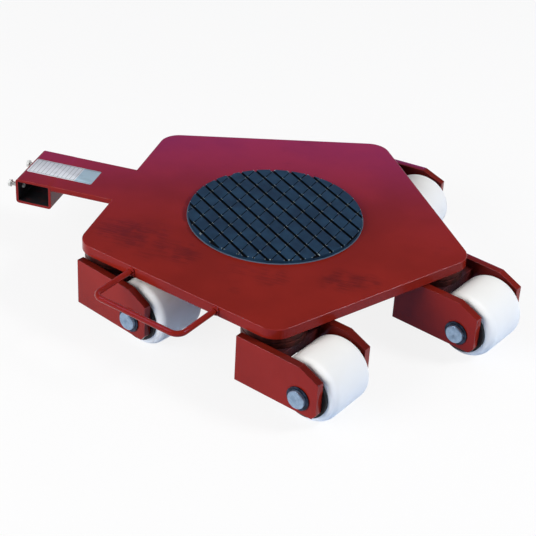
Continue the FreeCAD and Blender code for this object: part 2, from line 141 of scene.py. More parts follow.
class Signal:
    """An output socket that takes part in arithmetic; each operator adds its node."""

    def __init__(self, sheet: "NodeSheet", socket: bpy.types.NodeSocket) -> None:
        """Keep the node sheet and the socket together."""
        self.sheet = sheet
        self.socket = socket

    def _combine(self, operation: str, first: "Operand", second: "Operand") -> "Signal":
        """Join two operands with the node that suits them.

        Args:
            operation: Name shared by the Math, Vector Math and Mix nodes.
            first: Left operand.
            second: Right operand.

        Returns:
            The joined signal.
        """
        kinds = {entry.socket.type for entry in (first, second) if isinstance(entry, Signal)}
        if "RGBA" in kinds:
            return self.sheet.mix(1.0, first, second, operation)
        kind = "ShaderNodeVectorMath" if "VECTOR" in kinds else "ShaderNodeMath"
        return self.sheet.node(kind, {"operation": operation}, {0: first, 1: second})

    def __add__(self, other: "Operand") -> "Signal":
        """Sum."""
        return self._combine("ADD", self, other)

    def __radd__(self, other: "Operand") -> "Signal":
        """Sum with a number on the left."""
        return self._combine("ADD", other, self)

    def __sub__(self, other: "Operand") -> "Signal":
        """Difference."""
        return self._combine("SUBTRACT", self, other)

    def __rsub__(self, other: "Operand") -> "Signal":
        """Difference from a number on the left."""
        return self._combine("SUBTRACT", other, self)

    def __mul__(self, other: "Operand") -> "Signal":
        """Product."""
        return self._combine("MULTIPLY", self, other)

    def __rmul__(self, other: "Operand") -> "Signal":
        """Product with a number on the left."""
        return self._combine("MULTIPLY", other, self)

    def __mod__(self, other: "Operand") -> "Signal":
        """Remainder, never negative."""
        return self._combine("FLOORED_MODULO", self, other)

    def __abs__(self) -> "Signal":
        """Size without sign."""
        return self.sheet.node("ShaderNodeMath", {"operation": "ABSOLUTE"}, {0: self})

    def rise(self, low: float, high: float) -> "Signal":
        """Smooth step from 0 at the low value to 1 at the high one."""
        settings = {"interpolation_type": "SMOOTHSTEP"}
        return self.sheet.node("ShaderNodeMapRange", settings, {0: self, 1: low, 2: high})

    def part(self, axis: str) -> "Signal":
        """One component of a vector, named X, Y or Z."""
        return self.sheet.node("ShaderNodeSeparateXYZ", {}, {0: self}, axis)


Operand = Union[Signal, int, float, Sequence[float]]


class NodeSheet:
    """Node tree of a finish or of the world, with the few moves that they need."""

    def __init__(self, tree: bpy.types.NodeTree) -> None:
        """Start from an empty tree."""
        self.tree = tree
        tree.nodes.clear()

    def node(self, kind: str, settings: Mapping[str, object], sockets: Mapping[Union[int, str], object],
             output: Union[int, str] = 0) -> Signal:
        """Add a node.

        Args:
            kind: Blender's name for the node's type.
            settings: Properties, which are set before the sockets.
            sockets: Values or signals by input name or number.
            output: Name or number of the output that is wanted.

        Returns:
            The output as a signal.
        """
        item = self.tree.nodes.new(kind)
        for name, choice in settings.items():
            setattr(item, name, choice)
        for key, entry in sockets.items():
            if isinstance(entry, Signal):
                self.tree.links.new(entry.socket, item.inputs[key])
            else:
                item.inputs[key].default_value = entry
        return Signal(self, item.outputs[output])

    def place(self) -> Signal:
        """Point on the piece in the frame's axes, in metres."""
        return self.node("ShaderNodeTexCoord", {}, {}, "Object")

    def facing(self) -> Signal:
        """Direction that the surface faces."""
        return self.node("ShaderNodeNewGeometry", {}, {}, "Normal")

    def mark(self, mark: Mark) -> Signal:
        """Value that the mesh carries."""
        return self.node("ShaderNodeAttribute", {"attribute_name": mark.value}, {}, "Fac")

    def grain(self, pitch: float, detail: float = 2.0, stretch: Sequence[float] = (1, 1, 1)) -> Signal:
        """Soft random pattern about 0.5, in patches of one pitch that each axis may stretch."""
        return self.node("ShaderNodeTexNoise", {"noise_dimensions": "3D"},
                         {"Vector": self.place() * tuple(stretch), "Scale": 1 / pitch, "Detail": detail})

    def tool_lines(self, pitch: float) -> Signal:
        """Random lines round a turned piece, one about every pitch of its profile."""
        return self.node("ShaderNodeTexNoise", {"noise_dimensions": "1D"},
                         {"W": self.mark(Mark.RUN), "Scale": 1 / pitch, "Detail": 3.0})

    def mix(self, share: Operand, low: Operand, high: Operand, mode: str = "MIX") -> Signal:
        """Join two colours.

        Args:
            share: How much of the second takes effect.
            low: First colour.
            high: Second colour.
            mode: One of the Mix node's modes.

        Returns:
            The joined colour.
        """
        settings = {"data_type": "RGBA", "blend_type": mode}
        sockets = {MIX_SHARE: share, MIX_LOW: low, MIX_HIGH: high}
        return self.node("ShaderNodeMix", settings, sockets, MIX_RESULT)

    def blend(self, share: Operand, low: Union[Colour, Signal], high: Union[Colour, Signal]) -> Signal:
        """Colour between two others: the low one at a share of 0, the high one at 1."""
        ends = [entry.linear() if isinstance(entry, Colour) else entry for entry in (low, high)]
        return self.mix(share, *ends)

    def near(self, x: float, y: float, reach: float, core: float = 0.15) -> Signal:
        """One round a spot of the plan, fading to nothing at a reach from it.

        Args:
            x: Spot's place along X.
            y: Spot's place along Y.
            reach: Distance at which nothing is left.
            core: Share of the reach where nothing fades yet.

        Returns:
            The fading value.
        """
        away = (self.place() - (x, y, 0.0)) * (1.0, 1.0, 0.0)
        distance = self.node("ShaderNodeVectorMath", {"operation": "LENGTH"}, {0: away}, "Value")
        return 1 - distance.rise(core * reach, reach)

    def bumps(self, height: Signal, depth: float, strength: float = 1.0) -> Signal:
        """Surface direction over a relief whose height of 1 stands for a depth in metres."""
        return self.node("ShaderNodeBump", {}, {"Height": height, "Distance": depth, "Strength": strength})

    def surface(self, sockets: Mapping[str, object]) -> None:
        """Close the tree with one shader that has these socket values or signals."""
        self.output(self.node("ShaderNodeBsdfPrincipled", {}, sockets))

    def output(self, shader: Signal, kind: str = "ShaderNodeOutputMaterial") -> None:
        """Link a shader to an output node of a kind."""
        end = self.tree.nodes.new(kind)
        self.tree.links.new(shader.socket, end.inputs["Surface"])


class Finish:
    """A surface finish; each kind writes its own nodes."""

    name: str
    slot: Optional[Slot] = None

    def compose(self, sheet: NodeSheet) -> None:
        """Write the finish's nodes.

        Args:
            sheet: Node sheet of its material.
        """
        raise NotImplementedError

    def material(self) -> bpy.types.Material:
        """Give the finish's material, made the first time it is asked for.

        Returns:
            The material.
        """
        made = bpy.data.materials.get(self.name)
        if made is None:
            made = bpy.data.materials.new(self.name)
            made.use_nodes = True
            self.compose(NodeSheet(made.node_tree))
        return made


@dataclass(frozen=True)
class RedEnamel(Finish):
    """Sprayed red enamel over steel plate, rubbed thin along its edges, whose crests also carry a pale
    painted highlight.
    """

    name: str = "red_enamel"
    slot: Slot = Slot.RED_PAINT
    fresh: Colour = Colour(139, 35, 24)
    deep: Colour = Colour(125, 30, 20)
    smeared: Colour = Colour(78, 20, 12)
    # pale colour of the edge crests: rubbed paint and a painted highlight
    rubbed: Colour = Colour(178, 66, 66)
    bare: Colour = Colour(98, 88, 88)
    # painted shade of the gap under the deck, round each swivel
    gap_shade: Colour = Colour(44, 34, 40)
    # violet tint of all reflections, a painted reflection colour that stands in for a blue backdrop's light
    gloss_tint: Rgba = (0.62, 0.4, 1.0, 1.0)
    drift_pitch: float = 110 * MM
    fleck_pitch: float = 2.4 * MM
    wear_pitch: float = 14 * MM
    wipe_pitch: float = 2.2 * MM
    smear_pitch: float = 74 * MM
    break_pitch: float = 22 * MM
    film_pitch: float = 9 * MM
    peel_pitch: float = 1.6 * MM
    peel_depth: float = 0.008 * MM
    drag_pitch: float = 1.1 * MM
    drag_depth: float = 0.16 * MM
    chip_depth: float = 0.08 * MM
    wiped_places: Spots = (
        (-170 * MM, -98 * MM, 46 * MM), (-128 * MM, -92 * MM, 52 * MM), (146 * MM, -102 * MM, 40 * MM),
        (178 * MM, -92 * MM, 30 * MM), (-66 * MM, -118 * MM, 44 * MM), (60 * MM, -128 * MM, 36 * MM))
    gap_shade_places: Spots = ()

    def compose(self, sheet: NodeSheet) -> None:
        """Write the enamel: drifts of shade, wiped smears, orange peel, cutting drag, rubbed edges that also
        carry a painted highlight, and painted shade round the swivels.

        Args:
            sheet: Node sheet of its material.
        """
        drift = sheet.grain(self.drift_pitch, 3.0)
        fleck = sheet.grain(self.fleck_pitch)
        crest = sheet.mark(Mark.CREST)
        wear = sheet.grain(self.wear_pitch, 4.0)
        rubbed = crest * wear.rise(0.42, 0.66)
        chipped = crest * (wear * 0.6 + fleck * 0.4).rise(0.62, 0.68)
        wiped = sheet.grain(self.wipe_pitch, 2.0, (0.1, 1, 1)).rise(0.4, 0.62)
        smear = sheet.grain(self.smear_pitch).rise(0.56, 0.74) * 0.5
        for x, y, reach in self.wiped_places:
            smear = smear + sheet.near(x, y, reach) * 0.9
        smear = smear * (0.4 + wiped * 0.6) * sheet.grain(self.break_pitch).rise(0.22, 0.56)
        coat = sheet.blend(drift.rise(0.3, 0.7), self.deep, self.fresh)
        coat = sheet.blend(smear.rise(0.0, 1.0) * 0.6, coat, self.smeared)
        coat = sheet.blend(fleck.rise(0.35, 0.75) * 0.1, coat, self.deep)
        # crests go paler: part rubbed paint, part painted highlight
        coat = sheet.blend(rubbed * 0.5, coat, self.rubbed)
        coat = sheet.blend(chipped, coat, self.bare)
        # painted shade round each swivel, where the gap under the deck lies
        for x, y, reach in self.gap_shade_places:
            film = sheet.near(x, y, reach) * (0.7 + sheet.grain(self.film_pitch, 3.0) * 0.6)
            coat = sheet.blend(film.rise(0.1, 0.75) * 0.9, coat, self.gap_shade)
        side = 1 - abs(sheet.facing().part("Z")).rise(0.3, 0.6)
        drag = sheet.grain(self.drag_pitch, 1.0, (1, 1, 0.06)) * side
        peel = sheet.grain(self.peel_pitch)
        relief = peel * self.peel_depth + drag * self.drag_depth - chipped * self.chip_depth
        sheet.surface({
            "Base Color": coat,
            "Roughness": 0.07 + drift * 0.04 + smear * 0.03 + fleck * 0.03 + chipped * 0.25,
            "Normal": sheet.bumps(relief, 1.0),
            "Coat Weight": crest * 0.7,
            "Coat Roughness": 0.12,
            "Specular IOR Level": 0.15,
            "Specular Tint": self.gloss_tint,
        })


@dataclass(frozen=True)
class ShadedBore(Finish):
    """Inside of the cross tube in near-black painted shade, thinly dusted with overspray."""

    name: str = "shaded_bore"
    slot: Slot = Slot.RED_PAINT
    # near-black painted shade of the bore
    bore_shade: Colour = Colour(26, 26, 30)
    overspray: Colour = Colour(70, 24, 24)
    patch_pitch: float = 9 * MM
    speck_pitch: float = 0.9 * MM
    relief_depth: float = 0.25 * MM

    def compose(self, sheet: NodeSheet) -> None:
        """Write near-black painted shade with patches of overspray.

        Args:
            sheet: Node sheet of its material.
        """
        patch = sheet.grain(self.patch_pitch, 4.0)
        speck = sheet.grain(self.speck_pitch)
        dust = (patch * 0.7 + speck * 0.3).rise(0.52, 0.66) * 0.6
        sheet.surface({
            "Base Color": sheet.blend(dust, self.bore_shade, self.overspray),
            "Roughness": 0.55 + speck * 0.3,
            "Normal": sheet.bumps(patch + speck * 0.4, self.relief_depth, 0.6),
            "Specular IOR Level": 0.3,
        })


@dataclass(frozen=True)
class TurnedSteel(Finish):
    """Bright steel from the lathe, with its tool lines."""

    name: str = "turned_steel"
    slot: Slot = Slot.BRIGHT_STEEL
    bright: Colour = Colour(166, 190, 216)
    dull: Colour = Colour(124, 147, 174)
    roughness: float = 0.3
    line_pitch: float = 0.22 * MM
    line_depth: float = 0.03 * MM
    smear_pitch: float = 6 * MM

    def compose(self, sheet: NodeSheet) -> None:
        """Write bright metal with lines round the axis, smears of oil and dulled edges.

        Args:
            sheet: Node sheet of its material.
        """
        lines = sheet.tool_lines(self.line_pitch)
        smear = sheet.grain(self.smear_pitch, 3.0)
        crest = sheet.mark(Mark.CREST)
        tone = (lines * 0.45 + smear * 0.55).rise(0.3, 0.7)
        sheet.surface({
            "Base Color": sheet.blend(tone, self.dull, self.bright),
            "Metallic": 0.94 - crest * 0.1,
            "Roughness": self.roughness + smear * 0.18 + lines * 0.1,
            "Normal": sheet.bumps(lines, self.line_depth, 0.7),
        })


@dataclass(frozen=True)
class DarkSteel(Finish):
    """Oiled spring and bearing steel."""

    name: str = "dark_steel"
    slot: Slot = Slot.BRIGHT_STEEL
    lit: Colour = Colour(44, 49, 62)
    oiled: Colour = Colour(16, 18, 24)
    film_pitch: float = 7 * MM
    scratch_pitch: float = 0.5 * MM
    scratch_depth: float = 0.03 * MM

    def compose(self, sheet: NodeSheet) -> None:
        """Write dark metal under an uneven film of oil.

        Args:
            sheet: Node sheet of its material.
        """
        film = sheet.grain(self.film_pitch, 4.0)
        scratch = sheet.grain(self.scratch_pitch, 2.0, (1, 1, 0.2))
        crest = sheet.mark(Mark.CREST)
        sheet.surface({
            "Base Color": sheet.blend(film.rise(0.35, 0.68) * 0.8 + crest * 0.2, self.oiled, self.lit),
            "Metallic": 0.7,
            "Roughness": 0.36 + film * 0.16 + scratch * 0.08,
            "Specular IOR Level": 0.3,
            "Normal": sheet.bumps(scratch, self.scratch_depth, 0.6),
        })


@dataclass(frozen=True)
class ZincPlate(Finish):
    """Bright zinc plating on small hardware."""

    name: str = "zinc_plate"
    slot: Slot = Slot.ZINC_PLATE
    bright: Colour = Colour(176, 182, 190)
    shaded: Colour = Colour(88, 98, 114)
    cloud_pitch: float = 3.2 * MM
    scratch_pitch: float = 0.4 * MM
    scratch_depth: float = 0.02 * MM

    def compose(self, sheet: NodeSheet) -> None:
        """Write cloudy plating with fine scratches.

        Args:
            sheet: Node sheet of its material.
        """
        cloud = sheet.grain(self.cloud_pitch, 4.0)
        scratch = sheet.grain(self.scratch_pitch, 2.0, (0.15, 1, 1))
        sheet.surface({
            "Base Color": sheet.blend(cloud.rise(0.34, 0.66), self.shaded, self.bright),
            "Metallic": 0.92,
            "Roughness": 0.24 + cloud * 0.2 + scratch * 0.08,
            "Normal": sheet.bumps(scratch, self.scratch_depth, 0.6),
        })


@dataclass(frozen=True)
class WhiteNylon(Finish):
    """Turned cast nylon with a faint scuffed tread."""

    name: str = "white_nylon"
    slot: Slot = Slot.WHITE_NYLON
    clean: Colour = Colour(246, 248, 248)
    cast: Colour = Colour(237, 240, 242)
    scuffed: Colour = Colour(188, 192, 196)
    line_pitch: float = 0.35 * MM
    line_depth: float = 0.03 * MM
    mottle_pitch: float = 16 * MM
    scuff_pitch: float = 5 * MM
    light_depth: float = 1.5 * MM

    def compose(self, sheet: NodeSheet) -> None:
        """Write milky plastic with tool lines, slight mottling and a few scuffs.

        Args:
            sheet: Node sheet of its material.
        """
        lines = sheet.tool_lines(self.line_pitch)
        mottle = sheet.grain(self.mottle_pitch, 3.0)
        scuff = sheet.grain(self.scuff_pitch, 5.0).rise(0.66, 0.78)
        base = sheet.blend((mottle * 0.7 + lines * 0.3).rise(0.32, 0.68), self.cast, self.clean)
        sheet.surface({
            "Base Color": sheet.blend(scuff * 0.3, base, self.scuffed),
            "Roughness": 0.4 + lines * 0.12 + scuff * 0.12,
            "Normal": sheet.bumps(lines - scuff * 0.5, self.line_depth, 0.6),
            "Specular IOR Level": 0.4,
            "Subsurface Weight": 0.12,
            "Subsurface Radius": (0.9, 0.9, 1.0),
            "Subsurface Scale": self.light_depth,
        })


@dataclass(frozen=True)
class MouldedRubber(Finish):
    """Blue-black moulded rubber, with painted shade in its grooves and rubbed on its tops."""

    centre: Vector
    radius: float
    name: str = "moulded_rubber"
    slot: Slot = Slot.BLACK_RUBBER
    top: Colour = Colour(24, 47, 68)
    rubbed: Colour = Colour(35, 62, 86)
    # near-black painted shade in the grooves
    groove_shade: Colour = Colour(8, 11, 16)
    # pale specks on the lozenges' corners are painted highlights
    speck: Colour = Colour(150, 164, 164)
    # pale band on the lip beyond the pad's rim
    pale_lip: Colour = Colour(84, 100, 118)
    gloss_tint: Rgba = (0.6, 0.8, 1.0, 1.0)
    rim_band: Span = (-0.9 * MM, -0.3 * MM)
    pale_lip_band: Span = (0.2 * MM, 0.6 * MM)
    groove_band: Span = (0.1 * MM, 0.8 * MM)
    haze_pitch: float = 26 * MM
    grain_pitch: float = 0.55 * MM
    grain_depth: float = 0.09 * MM

    def compose(self, sheet: NodeSheet) -> None:
        """Write rubber with painted shade in its grooves, painted highlights on the lozenges' corners and a
        pale band round its lip.

        Args:
            sheet: Node sheet of its material.
        """
        spot = sheet.place() - tuple(self.centre)
        x, y, depth = spot.part("X"), spot.part("Y"), 0 - spot.part("Z")
        reach = x * x + y * y
        rim, pale_lip = (reach.rise(*((self.radius + edge) ** 2 for edge in band))
                      for band in (self.rim_band, self.pale_lip_band))
        # depth below the tops sets the painted shade of the grooves
        groove_shade_mask = depth.rise(*self.groove_band) * (1 - rim)
        haze = sheet.grain(self.haze_pitch, 4.0)
        grain = sheet.grain(self.grain_pitch, 3.0)
        # corners of the lozenges, where painted highlights sit
        corner = sheet.mark(Mark.CREST).rise(0.3, 0.9)
        tops = sheet.blend((haze * 0.7 + grain * 0.3).rise(0.34, 0.68), self.top, self.rubbed)
        tops = sheet.blend(groove_shade_mask, tops, self.groove_shade)
        tops = sheet.blend(corner * 0.85, tops, self.speck)
        sheet.surface({
            "Base Color": sheet.blend(pale_lip, tops, self.pale_lip),
            "Roughness": 0.5 + haze * 0.14 + grain * 0.1 - corner * 0.2,
            "Normal": sheet.bumps(grain, self.grain_depth, 0.8),
            "Specular IOR Level": 0.12,
            "Specular Tint": self.gloss_tint,
        })


@dataclass(frozen=True)
class BlackPolymer(Finish):
    """Oil-filled black plastic of the thrust washers."""

    name: str = "black_polymer"
    slot: Slot = Slot.BLACK_PLASTIC
    black: Colour = Colour(10, 11, 14)
    worn: Colour = Colour(24, 26, 31)
    rub_pitch: float = 4 * MM
    rub_depth: float = 0.05 * MM

    def compose(self, sheet: NodeSheet) -> None:
        """Write black plastic with a worn sheen.

        Args:
            sheet: Node sheet of its material.
        """
        rub = sheet.grain(self.rub_pitch, 4.0)
        sheet.surface({
            "Base Color": sheet.blend(rub.rise(0.4, 0.7), self.black, self.worn),
            "Roughness": 0.36 + rub * 0.25,
            "Normal": sheet.bumps(rub, self.rub_depth, 0.5),
            "Specular IOR Level": 0.2,
        })


@dataclass(frozen=True)
class LabelStock(Finish):
    """Blank rating plate: pale film with an empty ruled form and one tinted panel."""

    start: Vector
    length: float
    width: float
    name: str = "label_stock"
    film: Colour = Colour(222, 226, 234)
    panel: Colour = Colour(172, 198, 214)
    ink: Colour = Colour(70, 74, 90)
    panel_share: float = 0.74
    rule_pitch: float = 6.2 * MM
    rule_width: float = 0.7 * MM
    margin: float = 2.2 * MM
    line_blur: float = 0.25 * MM
    fibre_pitch: float = 0.8 * MM
    fibre_depth: float = 0.02 * MM
    smudge_pitch: float = 12 * MM

    def compose(self, sheet: NodeSheet) -> None:
        """Write the film, its border line, the empty rules and the tinted panel.

        Args:
            sheet: Node sheet of its material.
        """
        place = sheet.place() - tuple(self.start)
        along, across = place.part("X"), abs(place.part("Y"))
        blur, half_rule = self.line_blur, self.rule_width / 2
        panel_start = self.length * self.panel_share
        rail_start = self.width / 2 - self.margin
        rail_end = rail_start + self.rule_width
        panel = along.rise(panel_start, panel_start + blur)
        beyond = across.rise(rail_start - blur, rail_start)
        rail = beyond * (1 - across.rise(rail_end, rail_end + blur))
        step = abs(along % self.rule_pitch - self.rule_pitch / 2)
        rules = (1 - step.rise(half_rule, half_rule + blur)) * (1 - beyond) * (1 - panel)
        fibre = sheet.grain(self.fibre_pitch, 3.0)
        smudge = sheet.grain(self.smudge_pitch, 3.0)
        face = sheet.blend(panel, self.film, self.panel)
        face = sheet.blend((rules * 0.6 + rail).rise(0.1, 0.9) * 0.75, face, self.ink)
        sheet.surface({
            "Base Color": sheet.blend(smudge.rise(0.5, 0.8) * 0.18, face, self.ink),
            "Roughness": 0.34 + fibre * 0.12 + smudge * 0.1,
            "Normal": sheet.bumps(fibre, self.fibre_depth, 0.5),
            "Specular IOR Level": 0.2,
        })


@dataclass(frozen=True)
class CovePaint(Finish):
    """White paint that shows as white, still takes a shadow and throws a bluish light back."""

    name: str = "cove_white"
    white: Colour = Colour(244, 244, 246)
    bounce: Colour = Colour(188, 211, 246)
    glow_share: float = 0.86

    def compose(self, sheet: NodeSheet) -> None:
        """Write matt paint with an even glow where it is seen.

        Args:
            sheet: Node sheet of its material.
        """
        camera, gloss, glass = (sheet.node("ShaderNodeLightPath", {}, {}, f"Is {ray} Ray")
                                for ray in ("Camera", "Glossy", "Transmission"))
        seen = (camera + gloss + glass).rise(0.0, 1.0)
        tone = sheet.blend(seen, self.bounce, self.white)
        paint = sheet.node("ShaderNodeBsdfDiffuse", {}, {"Color": tone})
        glow = sheet.node("ShaderNodeEmission", {}, {"Color": (1, 1, 1, 1), "Strength": 1.0})
        sheet.output(sheet.node("ShaderNodeMixShader", {}, {0: seen * self.glow_share, 1: paint, 2: glow}))


ENAMEL = RedEnamel()
# Darker copies of the enamel, used as painted shade on the side plates' upper edges and inside the forks
DEEP_SHADE_ENAMEL = RedEnamel(name="deep_shade_enamel", fresh=Colour(104, 27, 18), deep=Colour(88, 22, 15))
EDGE_SHADE_ENAMEL = RedEnamel(name="edge_shade_enamel", fresh=Colour(124, 32, 22), deep=Colour(110, 27, 19))
BORE_SHADE = ShadedBore()
STEEL = TurnedSteel()
BEARING = DarkSteel()
RACE = DarkSteel(name="race_steel", lit=Colour(96, 42, 38), oiled=Colour(60, 30, 30))
RING = DarkSteel(name="ring_steel", lit=Colour(62, 74, 98), oiled=Colour(26, 31, 42))
ZINC = ZincPlate()
NYLON = WhiteNylon()
POLYMER = BlackPolymer()


def arc_angles(sweep: float, count: int) -> list[float]:
    """Evenly spaced angles from zero to a sweep, both ends included."""
    return [sweep * i / (count - 1) for i in range(count)]


def ring_angles(count: int) -> list[float]:
    """Evenly spaced angles once round a circle."""
    return [FULL_TURN * k / count for k in range(count)]


def round_spot(angle: float, radius: float = 1.0, height: float = 0.0) -> Vector:
    """Point at an angle and a radius round Z, at a height."""
    return Vector((radius * math.cos(angle), radius * math.sin(angle), height))


def straight(start: Vector, end: Vector, count: int) -> list[Vector]:
    """Evenly spaced points from start to end."""
    return [start.lerp(end, i / (count - 1)) for i in range(count)]


def round_arc(centre: Vector, first: Vector, second: Vector, sweep: float, count: int) -> list[Vector]:
    """Points on an arc from its first radius vector towards the second, a quarter turn on."""
    return [centre + first * math.cos(a) + second * math.sin(a) for a in arc_angles(sweep, count)]


def heading(path: Sequence[Vector], i: int) -> Vector:
    """Direction of a path at one of its points."""
    return (path[min(i + 1, len(path) - 1)] - path[max(i - 1, 0)]).normalized()


def with_neighbours(corners: Sequence[Vector]) -> Iterable[tuple[Vector, Vector, Vector]]:
    """Each corner of a closed outline, between the ones before and after it."""
    return zip([*corners[-1:], *corners[:-1]], corners, [*corners[1:], *corners[:1]])


def clip_convex(corners: Sequence[Vector], point: Vector, inward: Vector) -> list[Vector]:
    """Cut a flat convex outline by a line.

    Args:
        corners: Outline in order.
        point: A point on the line.
        inward: Direction of the side that is kept.

    Returns:
        The outline that is left.
    """
    kept = []
    for _, here, there in with_neighbours(corners):
        depth, next_depth = (here - point).dot(inward), (there - point).dot(inward)
        if depth >= 0:
            kept.append(here)
        if depth * next_depth < 0:
            kept.append(here.lerp(there, depth / (depth - next_depth)))
    return kept


def inset_convex(corners: Sequence[Vector], distance: float) -> list[Vector]:
    """Shrink a counter-clockwise convex outline by one distance on every side.

    Args:
        corners: Outline in order.
        distance: How far each side moves in.

    Returns:
        As many corners, in the same order.
    """
    moved = []
    for before, here, after in with_neighbours(corners):
        ways = ((here - before).normalized(), (after - here).normalized())
        sides = [Vector((-way.y, way.x, 0)) for way in ways]
        moved.append(here + (sides[0] + sides[1]) * distance / (1 + sides[0].dot(sides[1])))
    return moved


def add_object(name: str, data: bpy.types.ID) -> bpy.types.Object:
    """Put an object in the scene.

    Args:
        name: The object's name.
        data: Its mesh, lamp or camera.

    Returns:
        The new object.
    """
    item = bpy.data.objects.new(name, data)
    bpy.context.scene.collection.objects.link(item)
    return item


@dataclass(frozen=True)
class BeadForm:
    """Form of a weld bead, with its lag, heights and ends as shares of its radius."""

    sides: int = 14
    ripple: float = 2.4 * MM
    ripple_lag: float = 0.45
    ripple_power: float = 0.7
    ripple_height: float = 0.13
    drift_pitch: float = 4 * MM
    drift_height: float = 0.1
    core: float = 0.86
    crown_height: float = 0.8
    end_length: float = 1.2
    least_end: float = 0.02


BEAD = BeadForm()


class Workpiece:
    """A mesh in the making, which ends as one piece of the skate."""

    def __init__(self) -> None:
        """Start with an empty mesh."""
        self.mesh = bmesh.new()
        self._add_marks()

    def _add_marks(self) -> None:
        """Give the mesh the values that finishes read."""
        layers = self.mesh.verts.layers.float
        self.crest = layers.get(Mark.CREST.value) or layers.new(Mark.CREST.value)
        self.run = layers.get(Mark.RUN.value) or layers.new(Mark.RUN.value)

    @classmethod
    def copy_of(cls, node: str) -> "Workpiece":
        """Copy a CAD node, with doubled corners merged and flat regions made whole.

        Args:
            node: The node's name.

        Returns:
            The new workpiece.
        """
        piece = cls()
        mesh = piece.mesh
        mesh.from_mesh(frame["nodes"][node].data)
        bmesh.ops.remove_doubles(mesh, verts=mesh.verts, dist=MERGE_DISTANCE)
        bmesh.ops.dissolve_limit(mesh, angle_limit=FLAT_ANGLE, verts=mesh.verts, edges=mesh.edges)
        piece._add_marks()
        return piece

    def ease(self, width: float) -> "Workpiece":
        """Round the sharp edges and mark their crests.

        Args:
            width: Distance from the sharp edge to where the rounding starts.

        Returns:
            The same workpiece.
        """
        edges = [e for e in self.mesh.edges if e.is_manifold and e.calc_face_angle() > SHARP_ANGLE]
        made = bmesh.ops.bevel(self.mesh, geom=edges, offset=width, offset_type="OFFSET", segments=2,
                               profile=0.5, affect="EDGES", clamp_overlap=True)
        eased = set(made["faces"])
        for corner in self.mesh.verts:
            if corner.link_faces and all(face in eased for face in corner.link_faces):
                corner[self.crest] = 1.0
        return self

    def ring(self, spots: Iterable[Vector]) -> list[bmesh.types.BMVert]:
        """Add corners at these spots, in order."""
        return [self.mesh.verts.new(spot) for spot in spots]

    def skin(self, rings: Sequence[Sequence[bmesh.types.BMVert]]) -> None:
        """Join rings of equal counts, or single points, by faces.

        Args:
            rings: Rings in order; a ring of one corner is a pole.
        """
        for low, high in zip(rings, rings[1:]):
            for i in range(max(len(low), len(high))):
                lower, upper = ([ring[k % len(ring)] for k in (i, i + 1)] for ring in (low, high))
                self.mesh.faces.new(list(dict.fromkeys([*lower, *reversed(upper)])))

    def close(self, rings: Sequence[Sequence[bmesh.types.BMVert]]) -> "Workpiece":
        """Join rings by faces and cap both ends.

        Args:
            rings: Rings of equal counts, in order.

        Returns:
            The same workpiece.
        """
        self.skin(rings)
        for cap in (rings[0], rings[-1]):
            self.mesh.faces.new(cap)
        return self

    def revolve(self, profile: Sequence[tuple[float, float]], place: Matrix, steps: int,
                looped: bool = False) -> "Workpiece":
        """Turn a profile about Z.

        Args:
            profile: Radius and height of its points.
            place: Where the turned form goes.
            steps: Facets round the axis.
            looped: Whether the profile's end joins its start.

        Returns:
            The same workpiece.
        """
        rings, run = [], 0.0
        for i, (radius, height) in enumerate(profile):
            run += math.dist(profile[i - 1], profile[i]) if i else 0.0
            angles = ring_angles(steps if radius > 0 else 1)
            rings.append(self.ring(place @ round_spot(a, radius, height) for a in angles))
            for corner in rings[-1]:
                corner[self.run] = run
        self.skin([*rings, rings[0]] if looped else rings)
        return self

    def sweep(self, path: Sequence[Vector], radius: float, upright: Vector, sides: int) -> "Workpiece":
        """Run a round bar along a flat path.

        Args:
            path: Points of its centre line.
            radius: Radius of the bar.
            upright: Direction square to the path's plane.
            sides: Facets round the bar.

        Returns:
            The same workpiece.
        """
        rings = []
        for i, point in enumerate(path):
            aside = heading(path, i).cross(upright)
            rings.append(self.ring(point + (aside * math.cos(a) + upright * math.sin(a)) * radius
                                   for a in ring_angles(sides)))
        return self.close(rings)

    def bead(self, path: Sequence[Vector], radius: float, crown: Vector, seed: float) -> "Workpiece":
        """Lay a weld bead with overlapping ripples.

        Args:
            path: Closely spaced points of the seam.
            radius: Half the bead's width.
            crown: Direction in which the bead stands up.
            seed: Place in the random pattern, so that no two beads are alike.

        Returns:
            The same workpiece.
        """
        lengths = [0.0]
        for here, there in zip(path, path[1:]):
            lengths.append(lengths[-1] + (there - here).length)
        rings = []
        for i, (point, length) in enumerate(zip(path, lengths)):
            ahead = heading(path, i)
            aside = ahead.cross(crown).normalized()
            up = aside.cross(ahead) * BEAD.crown_height
            end = min(length, lengths[-1] - length) / (BEAD.end_length * radius)
            taper = math.sqrt(max(1 - (1 - min(end, 1.0)) ** 2, BEAD.least_end))
            spots = []
            for a in ring_angles(BEAD.sides):
                lag = length - BEAD.ripple_lag * radius * math.sin(a)
                wave = abs(math.sin(math.pi * lag / BEAD.ripple)) ** BEAD.ripple_power
                drift = noise.noise(Vector((length / BEAD.drift_pitch, seed, math.sin(a))))
                swell = BEAD.core + BEAD.ripple_height * wave + BEAD.drift_height * drift
                spots.append(point + (aside * math.cos(a) + up * math.sin(a)) * (radius * taper * swell))
            rings.append(self.ring(spots))
        return self.close(rings)

    def to_object(self, name: str, finishes: Sequence[Finish]) -> bpy.types.Object:
        """End the work on the mesh and put it in the scene, shaded smooth.

        Args:
            name: The object's name.
            finishes: Its finishes, in the order of its faces' material numbers.

        Returns:
            The new object.
        """
        data = bpy.data.meshes.new(name)
        self.mesh.to_mesh(data)
        self.mesh.free()
        data.shade_smooth()
        for finish in finishes:
            data.materials.append(finish.material())
        return add_object(name, data)

